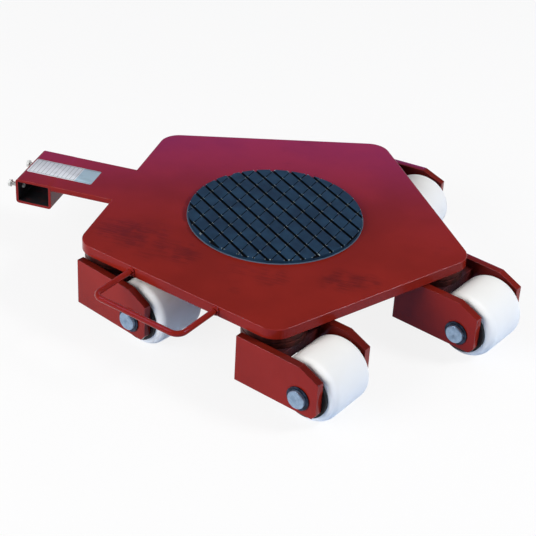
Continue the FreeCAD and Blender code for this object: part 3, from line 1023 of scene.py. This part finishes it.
    def set_up(self, name: str, finishes: Sequence[Finish], body: str, replaces: Sequence[str] = (),
               even: bool = False) -> bpy.types.Object:
        """Make the mesh a piece that rides on a body.

        Args:
            name: The piece's name.
            finishes: Its finishes, in the order of its faces' material numbers.
            body: Body that it rides on.
            replaces: CAD nodes that it stands for.
            even: Whether large flat faces set the shading next to eased edges.

        Returns:
            The new object.
        """
        bmesh.ops.recalc_face_normals(self.mesh, faces=self.mesh.faces)
        item = self.to_object(name, finishes)
        item.data.set_sharp_from_angle(angle=CREASE_ANGLE)
        if even:
            item.modifiers.new("even_shading", "WEIGHTED_NORMAL").keep_sharp = True
        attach(item, body)
        if replaces:
            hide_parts(*replaces)
        LOG.info("%s: %d faces, on %s", name, len(item.data.polygons), body)
        return item


def dress_node(node: str, finish: Finish) -> None:
    """Give a CAD node that stays in view its finish.

    Args:
        node: The node's name.
        finish: Finish of all its faces.
    """
    item = frame["nodes"][node]
    for holder in item.material_slots:
        holder.material = finish.material()
    LOG.info("%s: CAD node in %s", node, finish.name)


def ease_node(node: str, width: float, finish: Finish, body: str) -> None:
    """Stand a copy with rounded edges, in one finish, in the place of a CAD node."""
    Workpiece.copy_of(node).ease(width).set_up(f"{node}_eased", [finish], body, [node], even=True)


def axes_place(origin: Vector, x_way: Vector, z_way: Vector) -> Matrix:
    """Placement of a piece's own axes.

    Args:
        origin: Where its origin goes.
        x_way: Where its X axis points.
        z_way: Where its Z axis points.

    Returns:
        The matrix from the piece's axes to the frame's.
    """
    y_way = z_way.cross(x_way)
    turn = Matrix((x_way, y_way, z_way)).transposed().to_4x4()
    return Matrix.Translation(origin) @ turn


def deck_centre() -> Vector:
    """Find the centre of the deck on its top face, under the middle of the pad.

    Returns:
        The point.
    """
    low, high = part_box("rubber_pad")
    middle = (low + high) / 2
    return Vector((middle.x, middle.y, low.z))


@dataclass
class ArmFillet:
    """Weld across the underside of the arm, in the corner with an upright face."""

    name: str
    face_x: float
    side: int  # 1 where the arm runs on along +X from the face, -1 along -X
    inset: float
    seed: float
    radius: float = 3.4 * MM
    stand_off: float = 0.6 * MM

    def build(self) -> None:
        """Lay the bead from one side of the arm to the other."""
        low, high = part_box("socket_tube")
        x = self.face_x + self.side * self.stand_off
        z = high.z - ARM_THICKNESS - self.stand_off
        ends = [Vector((x, y, z)) for y in (low.y + self.inset, high.y - self.inset)]
        path = straight(*ends, round((high.y - low.y) / WELD_STEP))
        crown = Vector((self.side, 0, -1)).normalized()
        Workpiece().bead(path, self.radius, crown, self.seed).set_up(self.name, [ENAMEL], DECK)


@dataclass
class DeckPlate:
    """Five-sided deck with its welded arm, and the hidden hardware that it carries."""

    edge_ease: float = 0.9 * MM
    nut_ease: float = 0.8 * MM
    weld_inset: float = 2 * MM
    weld_seed: float = 3.0

    def build(self) -> None:
        """Ease the plate, the nuts and the upper races, dress the kingpins and weld the arm's root."""
        ease_node("deck_plate", self.edge_ease, ENAMEL, DECK)
        ease_node("kingpin_nuts", self.nut_ease, ZINC, DECK)
        ease_node("upper_races", RACE_EASE, RACE, DECK)
        dress_node("kingpins", BEARING)
        edge_x = deck_centre().x - EDGE_REACH
        ArmFillet("arm_root_weld", edge_x, -1, self.weld_inset, self.weld_seed).build()


@dataclass
class CrossTube:
    """Open tube across the arm's end, with its weld nuts, clamp screws, seams and blank label."""

    wall: float = 4 * MM
    edge_ease: float = 0.5 * MM
    nut_ease: float = 0.5 * MM
    fillet_inset: float = 2.6 * MM
    fillet_seed: float = 2.0
    seam_depth: float = 4.5 * MM
    seam_sink: float = 0.03 * MM
    seam_overlap: float = 1.4 * MM
    seam_root: float = 0.5 * MM
    seam_lip: float = 0.3 * MM
    seam_ease: float = 0.5 * MM
    seam_end_gap: float = 0.2 * MM
    label_length: float = 99 * MM
    label_width: float = 38 * MM
    label_corner: float = 2 * MM
    label_corner_points: int = 7
    label_thickness: float = 0.25 * MM
    label_edge: float = 0.075 * MM
    label_end_gap: float = 4.6 * MM
    low: Vector = field(init=False)
    high: Vector = field(init=False)

    def __post_init__(self) -> None:
        """Read the tube's box from the frame."""
        self.low, self.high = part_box("socket_tube")

    def build(self) -> None:
        """Build every piece of the arm's end."""
        self.build_tube()
        self.build_ground_seam()
        ArmFillet("arm_lower_weld", self.high.x, 1, self.fillet_inset, self.fillet_seed).build()
        ease_node("clamp_nuts", self.nut_ease, ZINC, DECK)
        for clamp in Clamp:
            ClampScrew(clamp).build()
        self.build_label()

    def build_tube(self) -> None:
        """Ease the tube and give its bore painted shade."""
        piece = Workpiece.copy_of("socket_tube").ease(self.edge_ease)
        reach = self.wall / 2
        for face in piece.mesh.faces:
            middle = face.calc_center_median()
            within_x = self.low.x + reach < middle.x < self.high.x - reach
            within_z = self.low.z + reach < middle.z < self.high.z - reach
            # faces inside the tube get the painted shade
            face.material_index = int(within_x and within_z and abs(face.normal.y) < FACING)
        piece.set_up("socket_tube_eased", [ENAMEL, BORE_SHADE], DECK, ["socket_tube"], even=True)

    def build_ground_seam(self) -> None:
        """Fill the groove between the tube's round corner and the arm's square end, level with both."""
        edge, ease = self.high.x, self.seam_ease
        top = self.high.z - self.seam_sink
        root = top - self.seam_depth
        start, end = edge - self.seam_depth - self.seam_overlap, edge + self.seam_overlap
        outline = [(start, top), (start, top - self.seam_lip), (edge - self.seam_root, root), (end, root),
                   (end, top)]
        first, last = self.low.y + self.seam_end_gap, self.high.y - self.seam_end_gap
        cuts = [(first, ease), (first + ease, 0.0), (last - ease, 0.0), (last, ease)]
        piece = Workpiece()
        rings = [piece.ring(Vector((x, y, min(z, top - drop))) for x, z in outline) for y, drop in cuts]
        piece.close(rings).set_up("arm_top_weld", [ENAMEL], DECK, even=True)

    def build_label(self) -> None:
        """Lay a thin blank label on the arm, over the seam."""
        start = Vector((self.low.x + self.label_end_gap, (self.low.y + self.high.y) / 2, self.high.z))
        stock = LabelStock(start=start.freeze(), length=self.label_length, width=self.label_width)
        corner, edge = self.label_corner, self.label_edge
        near, far, half = corner, self.label_length - corner, self.label_width / 2 - corner
        outline = []
        for turn, (x, y) in enumerate(((far, half), (near, half), (near, -half), (far, -half))):
            first = round_spot(turn * QUARTER_TURN) * corner
            centre = start + Vector((x, y, 0))
            outline += round_arc(centre, first, UP.cross(first), QUARTER_TURN, self.label_corner_points)
        levels = [(0.0, 0.0), (0.0, self.label_thickness - edge), (edge, self.label_thickness)]
        piece = Workpiece()
        rings = [piece.ring(spot + UP * height for spot in inset_convex(outline, inset))
                 for inset, height in levels]
        piece.close(rings).set_up("blank_label", [stock], DECK)


@dataclass
class ClampScrew:
    """One clamp screw: chamfered hexagon head, washer face and a cut thread."""

    clamp: Clamp
    head_flats: float = 10 * MM
    head_height: float = 4 * MM
    head_chamfer: float = math.radians(30)
    head_steps: int = 72
    crown_share: float = 0.94
    collar_share: float = 0.9
    collar_height: float = 0.4 * MM
    collar_sink: float = 0.1 * MM
    collar_steps: int = 48
    thread_radius: float = 3 * MM
    thread_pitch: float = 1.0 * MM
    thread_depth: float = 0.58 * MM
    thread_steps: int = 32
    levels_per_pitch: int = 8
    groove_bottom: float = 1.25  # share of the depth in the middle of the groove, cut off at 1
    groove_slope: float = 3.0  # what it loses per pitch away from there
    tip_chamfer: float = 1.0 * MM

    def build(self) -> None:
        """Make the screw in the place of its CAD node."""
        node = f"clamp_screw_{self.clamp.value}"
        low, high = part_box(node)
        middle = (low + high) / 2
        place = axes_place(Vector((low.x, middle.y, middle.z)), UP, Vector((1, 0, 0)))
        piece = Workpiece()
        self.add_head(piece, place)
        self.add_thread(piece, place, high.x - low.x)
        piece.set_up(f"{node}_threaded", [ZINC], f"clamp_{self.clamp.value}", [node])

    def add_head(self, piece: Workpiece, place: Matrix) -> None:
        """Add a hexagon head whose outer corners are turned off by a cone.

        Args:
            piece: Workpiece that it joins.
            place: Head's outer face at its origin, shank along +Z.
        """
        flat, sixth = self.head_flats / 2, math.pi / 3
        crown, collar = self.crown_share * flat, self.collar_share * flat
        slope = math.tan(self.head_chamfer)
        under = self.head_height - self.collar_height
        edge, side, base = [], [], []
        for turn in ring_angles(self.head_steps):
            reach = flat / math.cos(turn % sixth - sixth / 2)
            edge.append(place @ round_spot(turn, crown))
            side.append(place @ round_spot(turn, reach, (reach - crown) * slope))
            base.append(place @ round_spot(turn, reach, under))
        piece.close([piece.ring(spots) for spots in (edge, side, base)])
        inner = under - self.collar_sink
        washer_face = [(0, inner), (collar, inner), (collar, self.head_height), (0, self.head_height)]
        piece.revolve(washer_face, place, self.collar_steps)

    def add_thread(self, piece: Workpiece, place: Matrix, end: float) -> None:
        """Add a threaded shank with a chamfered tip.

        Args:
            piece: Workpiece that it joins.
            place: Screw's axes, shank along +Z.
            end: Height of the tip over the head's outer face.
        """
        start = self.head_height
        levels = round((end - start) / self.thread_pitch * self.levels_per_pitch)
        rings = []
        for level in range(levels + 1):
            height = start + (end - start) * level / levels
            tip = max(0.0, self.tip_chamfer - (end - height))
            spots = []
            for turn in ring_angles(self.thread_steps):
                phase = (height / self.thread_pitch - turn / FULL_TURN) % 1.0
                share = self.groove_bottom - abs(phase - 0.5) * self.groove_slope
                cut = self.thread_depth * min(1.0, max(0.0, share))
                spots.append(place @ round_spot(turn, self.thread_radius - max(cut, tip), height))
            rings.append(piece.ring(spots))
        piece.close(rings)


@dataclass
class CarryHandle:
    """Bar bent to a U and welded to one edge of the deck."""

    edge_angle: float = math.radians(252)
    bar_radius: float = 4 * MM
    bar_sides: int = 24
    spacing: float = 138 * MM
    reach: float = 72.5 * MM
    bend: float = 13 * MM
    leg_points: int = 6
    bend_points: int = 14
    grip_points: int = 8
    weld_radius: float = 2.3 * MM
    weld_reach: float = 4.9 * MM
    weld_stand_off: float = 0.8 * MM
    weld_points: int = 80
    weld_seed: float = 5.0

    def build(self) -> None:
        """Bend the bar and lay its welds."""
        low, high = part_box("carry_handle")
        out = round_spot(self.edge_angle)
        along = UP.cross(out)
        centre = deck_centre()
        middle = Vector((centre.x, centre.y, (low.z + high.z) / 2)) + out * EDGE_REACH
        path = self.bar_path(middle, out, along)
        bar = Workpiece().sweep(path, self.bar_radius, UP, self.bar_sides)
        bar.set_up("carry_handle_bent", [ENAMEL], DECK, ["carry_handle"])
        for name, side in (("left", -1), ("right", 1)):
            root = middle + along * side * self.spacing / 2 + out * self.weld_stand_off
            ring = round_arc(root, along * self.weld_reach, UP * self.weld_reach, FULL_TURN, self.weld_points)
            weld = Workpiece().bead(ring, self.weld_radius, out, self.weld_seed + side)
            weld.set_up(f"handle_weld_{name}", [ENAMEL], DECK)

    def bar_path(self, middle: Vector, out: Vector, along: Vector) -> list[Vector]:
        """Centre line of the bar from one root to the other.

        Args:
            middle: Point between the roots, on the deck's edge.
            out: Direction away from the deck.
            along: Direction along the deck's edge.

        Returns:
            The points in order.
        """
        half, bend = self.spacing / 2, self.bend
        grip, leg = half - bend, self.reach - bend
        left, right = middle - along * half, middle + along * half
        left_bend, right_bend = (middle + along * side * grip + out * leg for side in (-1, 1))
        runs = [
            straight(left, left + out * leg, self.leg_points),
            round_arc(left_bend, along * -bend, out * bend, QUARTER_TURN, self.bend_points),
            straight(left_bend + out * bend, right_bend + out * bend, self.grip_points),
            round_arc(right_bend, out * bend, along * bend, QUARTER_TURN, self.bend_points),
            straight(right + out * leg, right, self.leg_points),
        ]
        return [runs[0][0], *(point for run in runs for point in run[1:])]


@dataclass(frozen=True)
class GrooveSet:
    """Parallel grooves across the pad."""

    width: float
    pitch: float
    turn: float
    shift: float

    def gaps(self, radius: float) -> range:
        """Numbers of the gaps between grooves that a disc of this radius can meet."""
        count = math.ceil(radius / self.pitch) + 1
        return range(-count, count)

    def between(self, outline: Sequence[Vector], gap: int) -> list[Vector]:
        """Part of an outline between two neighbouring grooves.

        Args:
            outline: Convex outline that is cut.
            gap: Number of the gap.

        Returns:
            The outline that is left.
        """
        across = round_spot(self.turn)
        first = self.pitch * (gap + 0.5) + self.shift + self.width / 2
        last = self.pitch * (gap + 1.5) + self.shift - self.width / 2
        return clip_convex(clip_convex(outline, across * first, across), across * last, -across)


@dataclass
class LoadPad:
    """Round moulded pad with lozenges between a wide and a narrow set of grooves."""

    radius: float = 119.5 * MM
    thickness: float = 6 * MM
    lip_width: float = 1.5 * MM
    lip_thickness: float = 1 * MM
    lip_ease: float = 0.3 * MM
    groove_depth: float = 2.5 * MM
    wide: GrooveSet = GrooveSet(4 * MM, 21.4 * MM, math.radians(49.5), 4 * MM)
    narrow: GrooveSet = GrooveSet(1 * MM, 22 * MM, math.radians(169.5), 3 * MM)
    rim_steps: int = 240
    root_sink: float = 0.1 * MM
    draft: float = 0.12 * MM
    edge_round: float = 0.36 * MM
    round_share: float = 0.3
    side_crest: float = 0.6
    least_side: float = 1.2 * MM
    highlight_reach: float = 1.8 * MM
    highlight_share: float = 0.16
    least_run: float = 5.4 * MM
    least_width: float = 3 * MM
    corner_turn: float = math.radians(25)

    def build(self) -> None:
        """Mould the pad's base and its lozenges as one piece."""
        piece = Workpiece()
        base = deck_centre()
        floor, ease = self.thickness - self.groove_depth, self.lip_ease
        rim, lip = self.radius, self.radius + self.lip_width
        profile = [(0, 0), (lip, 0), (lip, self.lip_thickness - ease), (lip - ease, self.lip_thickness),
                   (rim, self.lip_thickness), (rim, floor), (0, floor)]
        piece.revolve(profile, Matrix.Translation(base), self.rim_steps)
        for outline in self.lozenges():
            self.add_lozenge(piece, base, outline)
        finish = MouldedRubber(centre=(base + UP * self.thickness).freeze(), radius=self.radius)
        pad = piece.set_up("rubber_pad_moulded", [finish], DECK, ["rubber_pad"])

    def lozenges(self) -> Iterable[list[Vector]]:
        """Outlines between the grooves, cut by the pad's rim.

        Returns:
            Counter-clockwise outlines about the pad's centre.
        """
        disc = [round_spot(a) * self.radius for a in ring_angles(self.rim_steps)]
        for i in self.wide.gaps(self.radius):
            strip = self.wide.between(disc, i)
            for j in self.narrow.gaps(self.radius):
                cell = self.without_short_sides(self.narrow.between(strip, j))
                if len(cell) > 2 and self.mean_width(cell) > self.least_width:
                    yield cell

    def without_short_sides(self, outline: Sequence[Vector]) -> list[Vector]:
        """Drop corners that lie too close to the one before them."""
        return [spot for before, spot, _ in with_neighbours(outline)
                if (spot - before).length > self.least_side]

    def mean_width(self, outline: Sequence[Vector]) -> float:
        """Four times the outline's area over its length, which is the side of a square.

        Args:
            outline: Counter-clockwise outline.

        Returns:
            The width.
        """
        area, length = 0.0, 0.0
        for _, here, there in with_neighbours(outline):
            area += here.cross(there).z / 2
            length += (there - here).length
        return 4 * area / length

    def add_lozenge(self, piece: Workpiece, base: Vector, outline: Sequence[Vector]) -> None:
        """Raise one lozenge with drafted sides and a rounded top edge.

        Args:
            piece: Workpiece that it joins.
            base: Pad's centre on the deck.
            outline: Lozenge's outline about that centre.
        """
        top, turn = self.thickness, self.edge_round
        root = top - self.groove_depth - self.root_sink
        shoulder = self.round_share * turn
        marked = self.with_corner_marks(outline)
        levels = [(0.0, root, 0.0), (self.draft, top - turn, self.side_crest),
                  (self.draft + shoulder, top - shoulder, 1.0), (self.draft + turn, top, 1.0)]
        rings = []
        for inset, height, share in levels:
            spots = inset_convex([spot for spot, _ in marked], inset)
            rings.append(piece.ring(base + spot + UP * height for spot in spots))
            for corner, (_, crest) in zip(rings[-1], marked):
                corner[piece.crest] = crest * share
        middle = sum((corner.co for corner in rings[-1]), Vector()) / len(marked)
        rings.append(piece.ring(corner.co.lerp(middle, self.highlight_share) for corner in rings[-1]))
        piece.close(rings)

    def with_corner_marks(self, outline: Sequence[Vector]) -> list[tuple[Vector, float]]:
        """Outline with points added beside its corners, which fence in their painted highlights.

        Args:
            outline: Lozenge's outline.

        Returns:
            Each point with 1 at a corner and 0 elsewhere.
        """
        marked = []
        for before, here, after in with_neighbours(outline):
            back, ahead = before - here, after - here
            if math.pi - back.angle(ahead) < self.corner_turn:
                marked.append((here, 0.0))
                continue
            fences = [(here + way.normalized() * self.highlight_reach, 0.0) for way in (back, ahead)]
            marked += fences[:1] if back.length > self.least_run else []
            marked.append((here, 1.0))
            marked += fences[1:] if ahead.length > self.least_run else []
        return marked


@dataclass
class SwivelBlock:
    """One swivelling roller block: side plates, bridge, bearing, axle and roller."""

    number: int
    plate_ease: float = 0.9 * MM
    small_ease: float = 0.3 * MM
    bridge_half: float = 44 * MM
    bridge_front: float = 38 * MM
    bridge_back: float = -15 * MM
    weld_radius: float = 3.2 * MM
    weld_stand_off: float = 0.7 * MM
    weld_seed: float = 10.0
    axle_radius: float = 12.5 * MM
    axle_half: float = 62 * MM
    axle_chamfer: float = 1.2 * MM
    axle_steps: int = 72
    edge_run: float = 0.3 * MM
    edge_drop: float = 0.1 * MM
    centre_radius: float = 2.4 * MM
    centre_depth: float = 1.8 * MM
    roller_radius: float = 45 * MM
    roller_half: float = 39 * MM
    roller_edge: float = 11 * MM
    roller_edge_points: int = 11
    roller_steps: int = 128
    tread_shares: tuple[float, ...] = (0.5, 0.0, -0.5)
    seat_radius: float = 26 * MM
    seat_depth: float = 15.8 * MM
    seat_chamfer: float = 0.6 * MM
    core_radius: float = 20 * MM
    # plan reach of the painted shade round the swivel
    gap_shade_reach: float = 86 * MM
    # faces whose normal leans up by more than this get painted shade
    shaded_lean: float = 0.2
    # blocks whose plates' upper edges get the deeper painted shade
    deep_shade_blocks: tuple[int, ...] = (4, 5)
    body: str = field(init=False)
    pivot: Vector = field(init=False)
    axle: Vector = field(init=False)
    across: Vector = field(init=False)
    # enamel with painted shade for the plates' upper edges
    edges: RedEnamel = field(init=False)
    # enamel with deeper painted shade round the swivel, for the bridge and the plates' inner faces
    gap_shaded: RedEnamel = field(init=False)

    def __post_init__(self) -> None:
        """Read the block's place from the frame's joints and settle how much painted shade its plates get."""
        joints = {joint["name"]: joint for joint in frame["joints"]}
        spin = joints[f"roller_spin_{self.number}"]
        self.body = f"block_{self.number}"
        self.pivot = Vector(joints[f"swivel_{self.number}"]["pos_m"])
        self.axle = Vector(spin["pos_m"])
        self.across = Vector(spin["axis"]).normalized()
        self.edges = DEEP_SHADE_ENAMEL if self.number in self.deep_shade_blocks else EDGE_SHADE_ENAMEL
        spot = (self.pivot.x, self.pivot.y, self.gap_shade_reach)
        self.gap_shaded = replace(DEEP_SHADE_ENAMEL, name=f"gap_shade_enamel_{self.number}", gap_shade_places=(spot,))

    def build(self) -> None:
        """Build every piece of the block."""
        n = self.number
        for part in ("left_plate", "right_plate"):
            self.build_side_plate(f"{part}_{n}")
        # the bridge plate wears the painted shade of the gap all over
        ease_node(f"bridge_plate_{n}", self.plate_ease, self.gap_shaded, self.body)
        self.build_welds()
        ease_node(f"lower_race_{n}", RACE_EASE, RACE, self.body)
        ease_node(f"axle_rings_{n}", self.small_ease, RING, self.body)
        ease_node(f"thrust_washers_{n}", self.small_ease, POLYMER, self.body)
        dress_node(f"swivel_balls_{n}", STEEL)
        dress_node(f"roller_bearings_{n}", BEARING)
        self.build_axle()
        self.build_roller()

    def build_side_plate(self, node: str) -> None:
        """Ease a side plate; painted shade darkens its upper edges, and deeper painted shade its inner face.

        Args:
            node: The plate's CAD node.
        """
        low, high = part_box(node)
        side = ((low + high) / 2 - self.pivot).dot(self.across)
        inward = self.across * math.copysign(1.0, -side)
        piece = Workpiece.copy_of(node).ease(self.plate_ease)
        finishes = [ENAMEL, self.edges, self.gap_shaded]
        for face in piece.mesh.faces:
            lean = face.normal.dot(inward)
            # faces leaning up get painted shade, faces towards the roller the deeper painted shade round the
            # swivel
            upper_shaded = lean > -FACING and face.normal.z > self.shaded_lean
            wanted = self.gap_shaded if lean > FACING else self.edges if upper_shaded else ENAMEL
            face.material_index = finishes.index(wanted)
        piece.set_up(f"{node}_eased", finishes, self.body, [node], even=True)

    def build_welds(self) -> None:
        """Lay the two fillets under the bridge, along the side plates."""
        low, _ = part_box(f"bridge_plate_{self.number}")
        along = self.across.cross(UP)
        level = self.pivot.xy.to_3d() + UP * (low.z - self.weld_stand_off)
        for name, side in (("left", 1), ("right", -1)):
            aside = self.across * side * (self.bridge_half - self.weld_stand_off)
            seam = [level + along * reach + aside for reach in (self.bridge_back, self.bridge_front)]
            path = straight(*seam, round((seam[1] - seam[0]).length / WELD_STEP))
            crown = (self.across * -side - UP).normalized()
            weld = Workpiece().bead(path, self.weld_radius, crown, self.weld_seed * self.number + side)
            weld.set_up(f"bridge_weld_{name}_{self.number}", [ENAMEL], self.body)

    def axle_place(self) -> Matrix:
        """Turned pieces' axes: Z along the axle."""
        return axes_place(self.axle, UP, self.across)

    def build_axle(self) -> None:
        """Turn the axle, with centre holes and chamfered ends."""
        half, radius, bevel = self.axle_half, self.axle_radius, self.axle_chamfer
        run, drop = self.edge_run, self.edge_drop
        end = [(0, half - self.centre_depth), (self.centre_radius, half), (radius - bevel - run, half),
               (radius - bevel, half - drop), (radius - drop, half - bevel), (radius, half - bevel - run)]
        profile = [(r, -h) for r, h in end] + [(r, h) for r, h in reversed(end)]
        Workpiece().revolve(profile, self.axle_place(), self.axle_steps).set_up(
            f"axle_{self.number}_turned", [STEEL], self.body, [f"axle_{self.number}"])

    def build_roller(self) -> None:
        """Turn the nylon roller, with round edges and bearing seats."""
        half, edge, seat = self.roller_half, self.roller_edge, self.seat_radius
        rim_centre, shoulder = self.roller_radius - edge, half - edge
        seat_floor = half - self.seat_depth
        rim = [(rim_centre + edge * math.sin(a), shoulder + edge * math.cos(a))
               for a in arc_angles(QUARTER_TURN, self.roller_edge_points)]
        tread = [(self.roller_radius, shoulder * share) for share in self.tread_shares]
        end = [(self.core_radius, seat_floor), (seat, seat_floor), (seat, half - self.seat_chamfer),
               (seat + self.seat_chamfer, half)]
        profile = end + rim + tread + [(r, -h) for r, h in reversed(end + rim)]
        Workpiece().revolve(profile, self.axle_place(), self.roller_steps, looped=True).set_up(
            f"roller_{self.number}_turned", [NYLON], f"roller_set_{self.number}", [f"roller_{self.number}"])


@dataclass(frozen=True)
class Lamp:
    """Square lamp that points at the skate."""

    name: str
    spot: tuple[float, float, float]
    size: float
    power: float
    tint: tuple[float, float, float] = (1.0, 1.0, 1.0)
    card: bool = False  # a card is seen by gloss only, a softbox by all but gloss
    aim_height: float = 60 * MM

    def hang(self) -> None:
        """Add the lamp to the scene."""
        light = bpy.data.lights.new(self.name, "AREA")
        light.size, light.energy, light.color = self.size, self.power, self.tint
        item = add_object(self.name, light)
        item.location = self.spot
        item.rotation_euler = (Vector(self.spot) - UP * self.aim_height).to_track_quat("Z", "Y").to_euler()
        item.visible_glossy, item.visible_diffuse = self.card, not self.card


@dataclass
class Studio:
    """Camera of the photograph, a white cove all round and soft light."""

    unit: float = DECK_REACH  # the camera's distance and aim are counted in it
    image_width: float = 536
    focal_pixels: float = 1535.47
    sensor: float = 36
    clip_start: float = 0.05
    clip_end: float = 60
    azimuth: float = math.radians(16.3047)
    elevation: float = math.radians(33.1062)
    roll: float = math.radians(3.3967)
    distance: float = 7.6473
    aim_right: float = 0.0355
    aim_up: float = 0.2567
    cove_radius: float = 7.0
    cove_height: float = 2.2
    cove_round: float = 1.6
    cove_round_points: int = 13
    cove_steps: int = 64
    fill: Colour = Colour(124, 126, 129)
    panel_light: Rgba = (1.7, 0.4, 1.9, 1.0)
    # Parts of a direction between which the panel fades in or out
    panel_left: Span = (-0.56, -0.46)
    panel_right: Span = (-0.1, 0.0)
    panel_side: Span = (0.05, 0.5)
    panel_foot: Span = (0.37, 0.41)
    panel_top: Span = (0.484, 0.502)
    lamps: tuple[Lamp, ...] = (
        Lamp("key_softbox", (-1.9, -2.2, 1.25), 2.2, 96.0, (1.0, 0.98, 0.95)),
        Lamp("side_softbox", (2.25, 0.15, 1.85), 0.7, 50.0, (1.0, 0.99, 0.98)),
        Lamp("right_card", (1.84, 0.56, 2.3), 1.0, 42.0, card=True),
        Lamp("left_card", (-1.75, -0.81, 2.3), 1.3, 24.0, card=True),
    )

    def build(self) -> None:
        """Set up the camera, the cove, the world and the lamps."""
        self.build_camera()
        self.build_cove()
        self.build_world()
        for lamp in self.lamps:
            lamp.hang()
        bpy.context.scene.view_settings.view_transform = "Standard"

    def build_camera(self) -> None:
        """Place the camera at the photograph's viewpoint."""
        a, e, r = self.azimuth, self.elevation, self.roll
        back = Vector((math.sin(a) * math.cos(e), -math.cos(a) * math.cos(e), math.sin(e)))
        right = Vector((math.cos(a), math.sin(a), 0))
        up = back.cross(right)
        right, up = right * math.cos(r) + up * math.sin(r), up * math.cos(r) - right * math.sin(r)
        spot = back * self.distance - right * self.aim_right - up * self.aim_up
        lens = bpy.data.cameras.new("photograph_view")
        lens.sensor_width = self.sensor
        lens.lens = self.sensor * self.focal_pixels / self.image_width
        lens.clip_start, lens.clip_end = self.clip_start, self.clip_end
        camera = add_object("photograph_view", lens)
        camera.matrix_world = axes_place(deck_centre() + spot * self.unit, right, back)
        bpy.context.scene.camera = camera

    def build_cove(self) -> None:
        """Make the floor, which rises to a wall far from the skate."""
        flat, bend = self.cove_radius - self.cove_round, self.cove_round
        profile = [(0, 0), (flat / 2, 0)]
        profile += [(flat + bend * math.sin(a), bend * (1 - math.cos(a)))
                    for a in arc_angles(QUARTER_TURN, self.cove_round_points)]
        profile += [(self.cove_radius, self.cove_height)]
        piece = Workpiece().revolve(profile, Matrix.Identity(4), self.cove_steps)
        piece.to_object("cove", [CovePaint()])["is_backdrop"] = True

    def build_world(self) -> None:
        """Grey fill from all round, with a violet panel low on the far side that only gloss sees."""
        world = bpy.data.worlds.new("studio")
        world.use_nodes = True
        sheet = NodeSheet(world.node_tree)
        way = sheet.node("ShaderNodeTexCoord", {}, {}, "Generated")
        gloss = sheet.node("ShaderNodeLightPath", {}, {}, "Is Glossy Ray")
        x, y, z = (way.part(axis) for axis in "XYZ")
        width = x.rise(*self.panel_left) * (1 - x.rise(*self.panel_right)) * y.rise(*self.panel_side)
        behind = width * z.rise(*self.panel_foot) * (1 - z.rise(*self.panel_top)) * gloss
        tone = sheet.mix(behind, self.fill.linear(), self.panel_light)
        glow = sheet.node("ShaderNodeBackground", {}, {"Color": tone, "Strength": 1.0})
        sheet.output(glow, "ShaderNodeOutputWorld")
        bpy.context.scene.world = world


def write_sizes() -> None:
    """Measure the CAD box and the dressed skate's box, in a table that is not kept.
    """
    boxes = {"cad": CAD_BOX, "visual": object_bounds()}
    {name: [list(corner) for corner in box] for name, box in boxes.items()}


def main() -> None:
    """Build the skate's sub-assemblies in order, then the studio."""
    logging.basicConfig(level=logging.INFO, format="%(name)s: %(message)s")
    DeckPlate().build()
    CrossTube().build()
    CarryHandle().build()
    LoadPad().build()
    for number in BLOCK_NUMBERS:
        SwivelBlock(number).build()
    Studio().build()
    write_sizes()


if __name__ == "__main__":
    main()
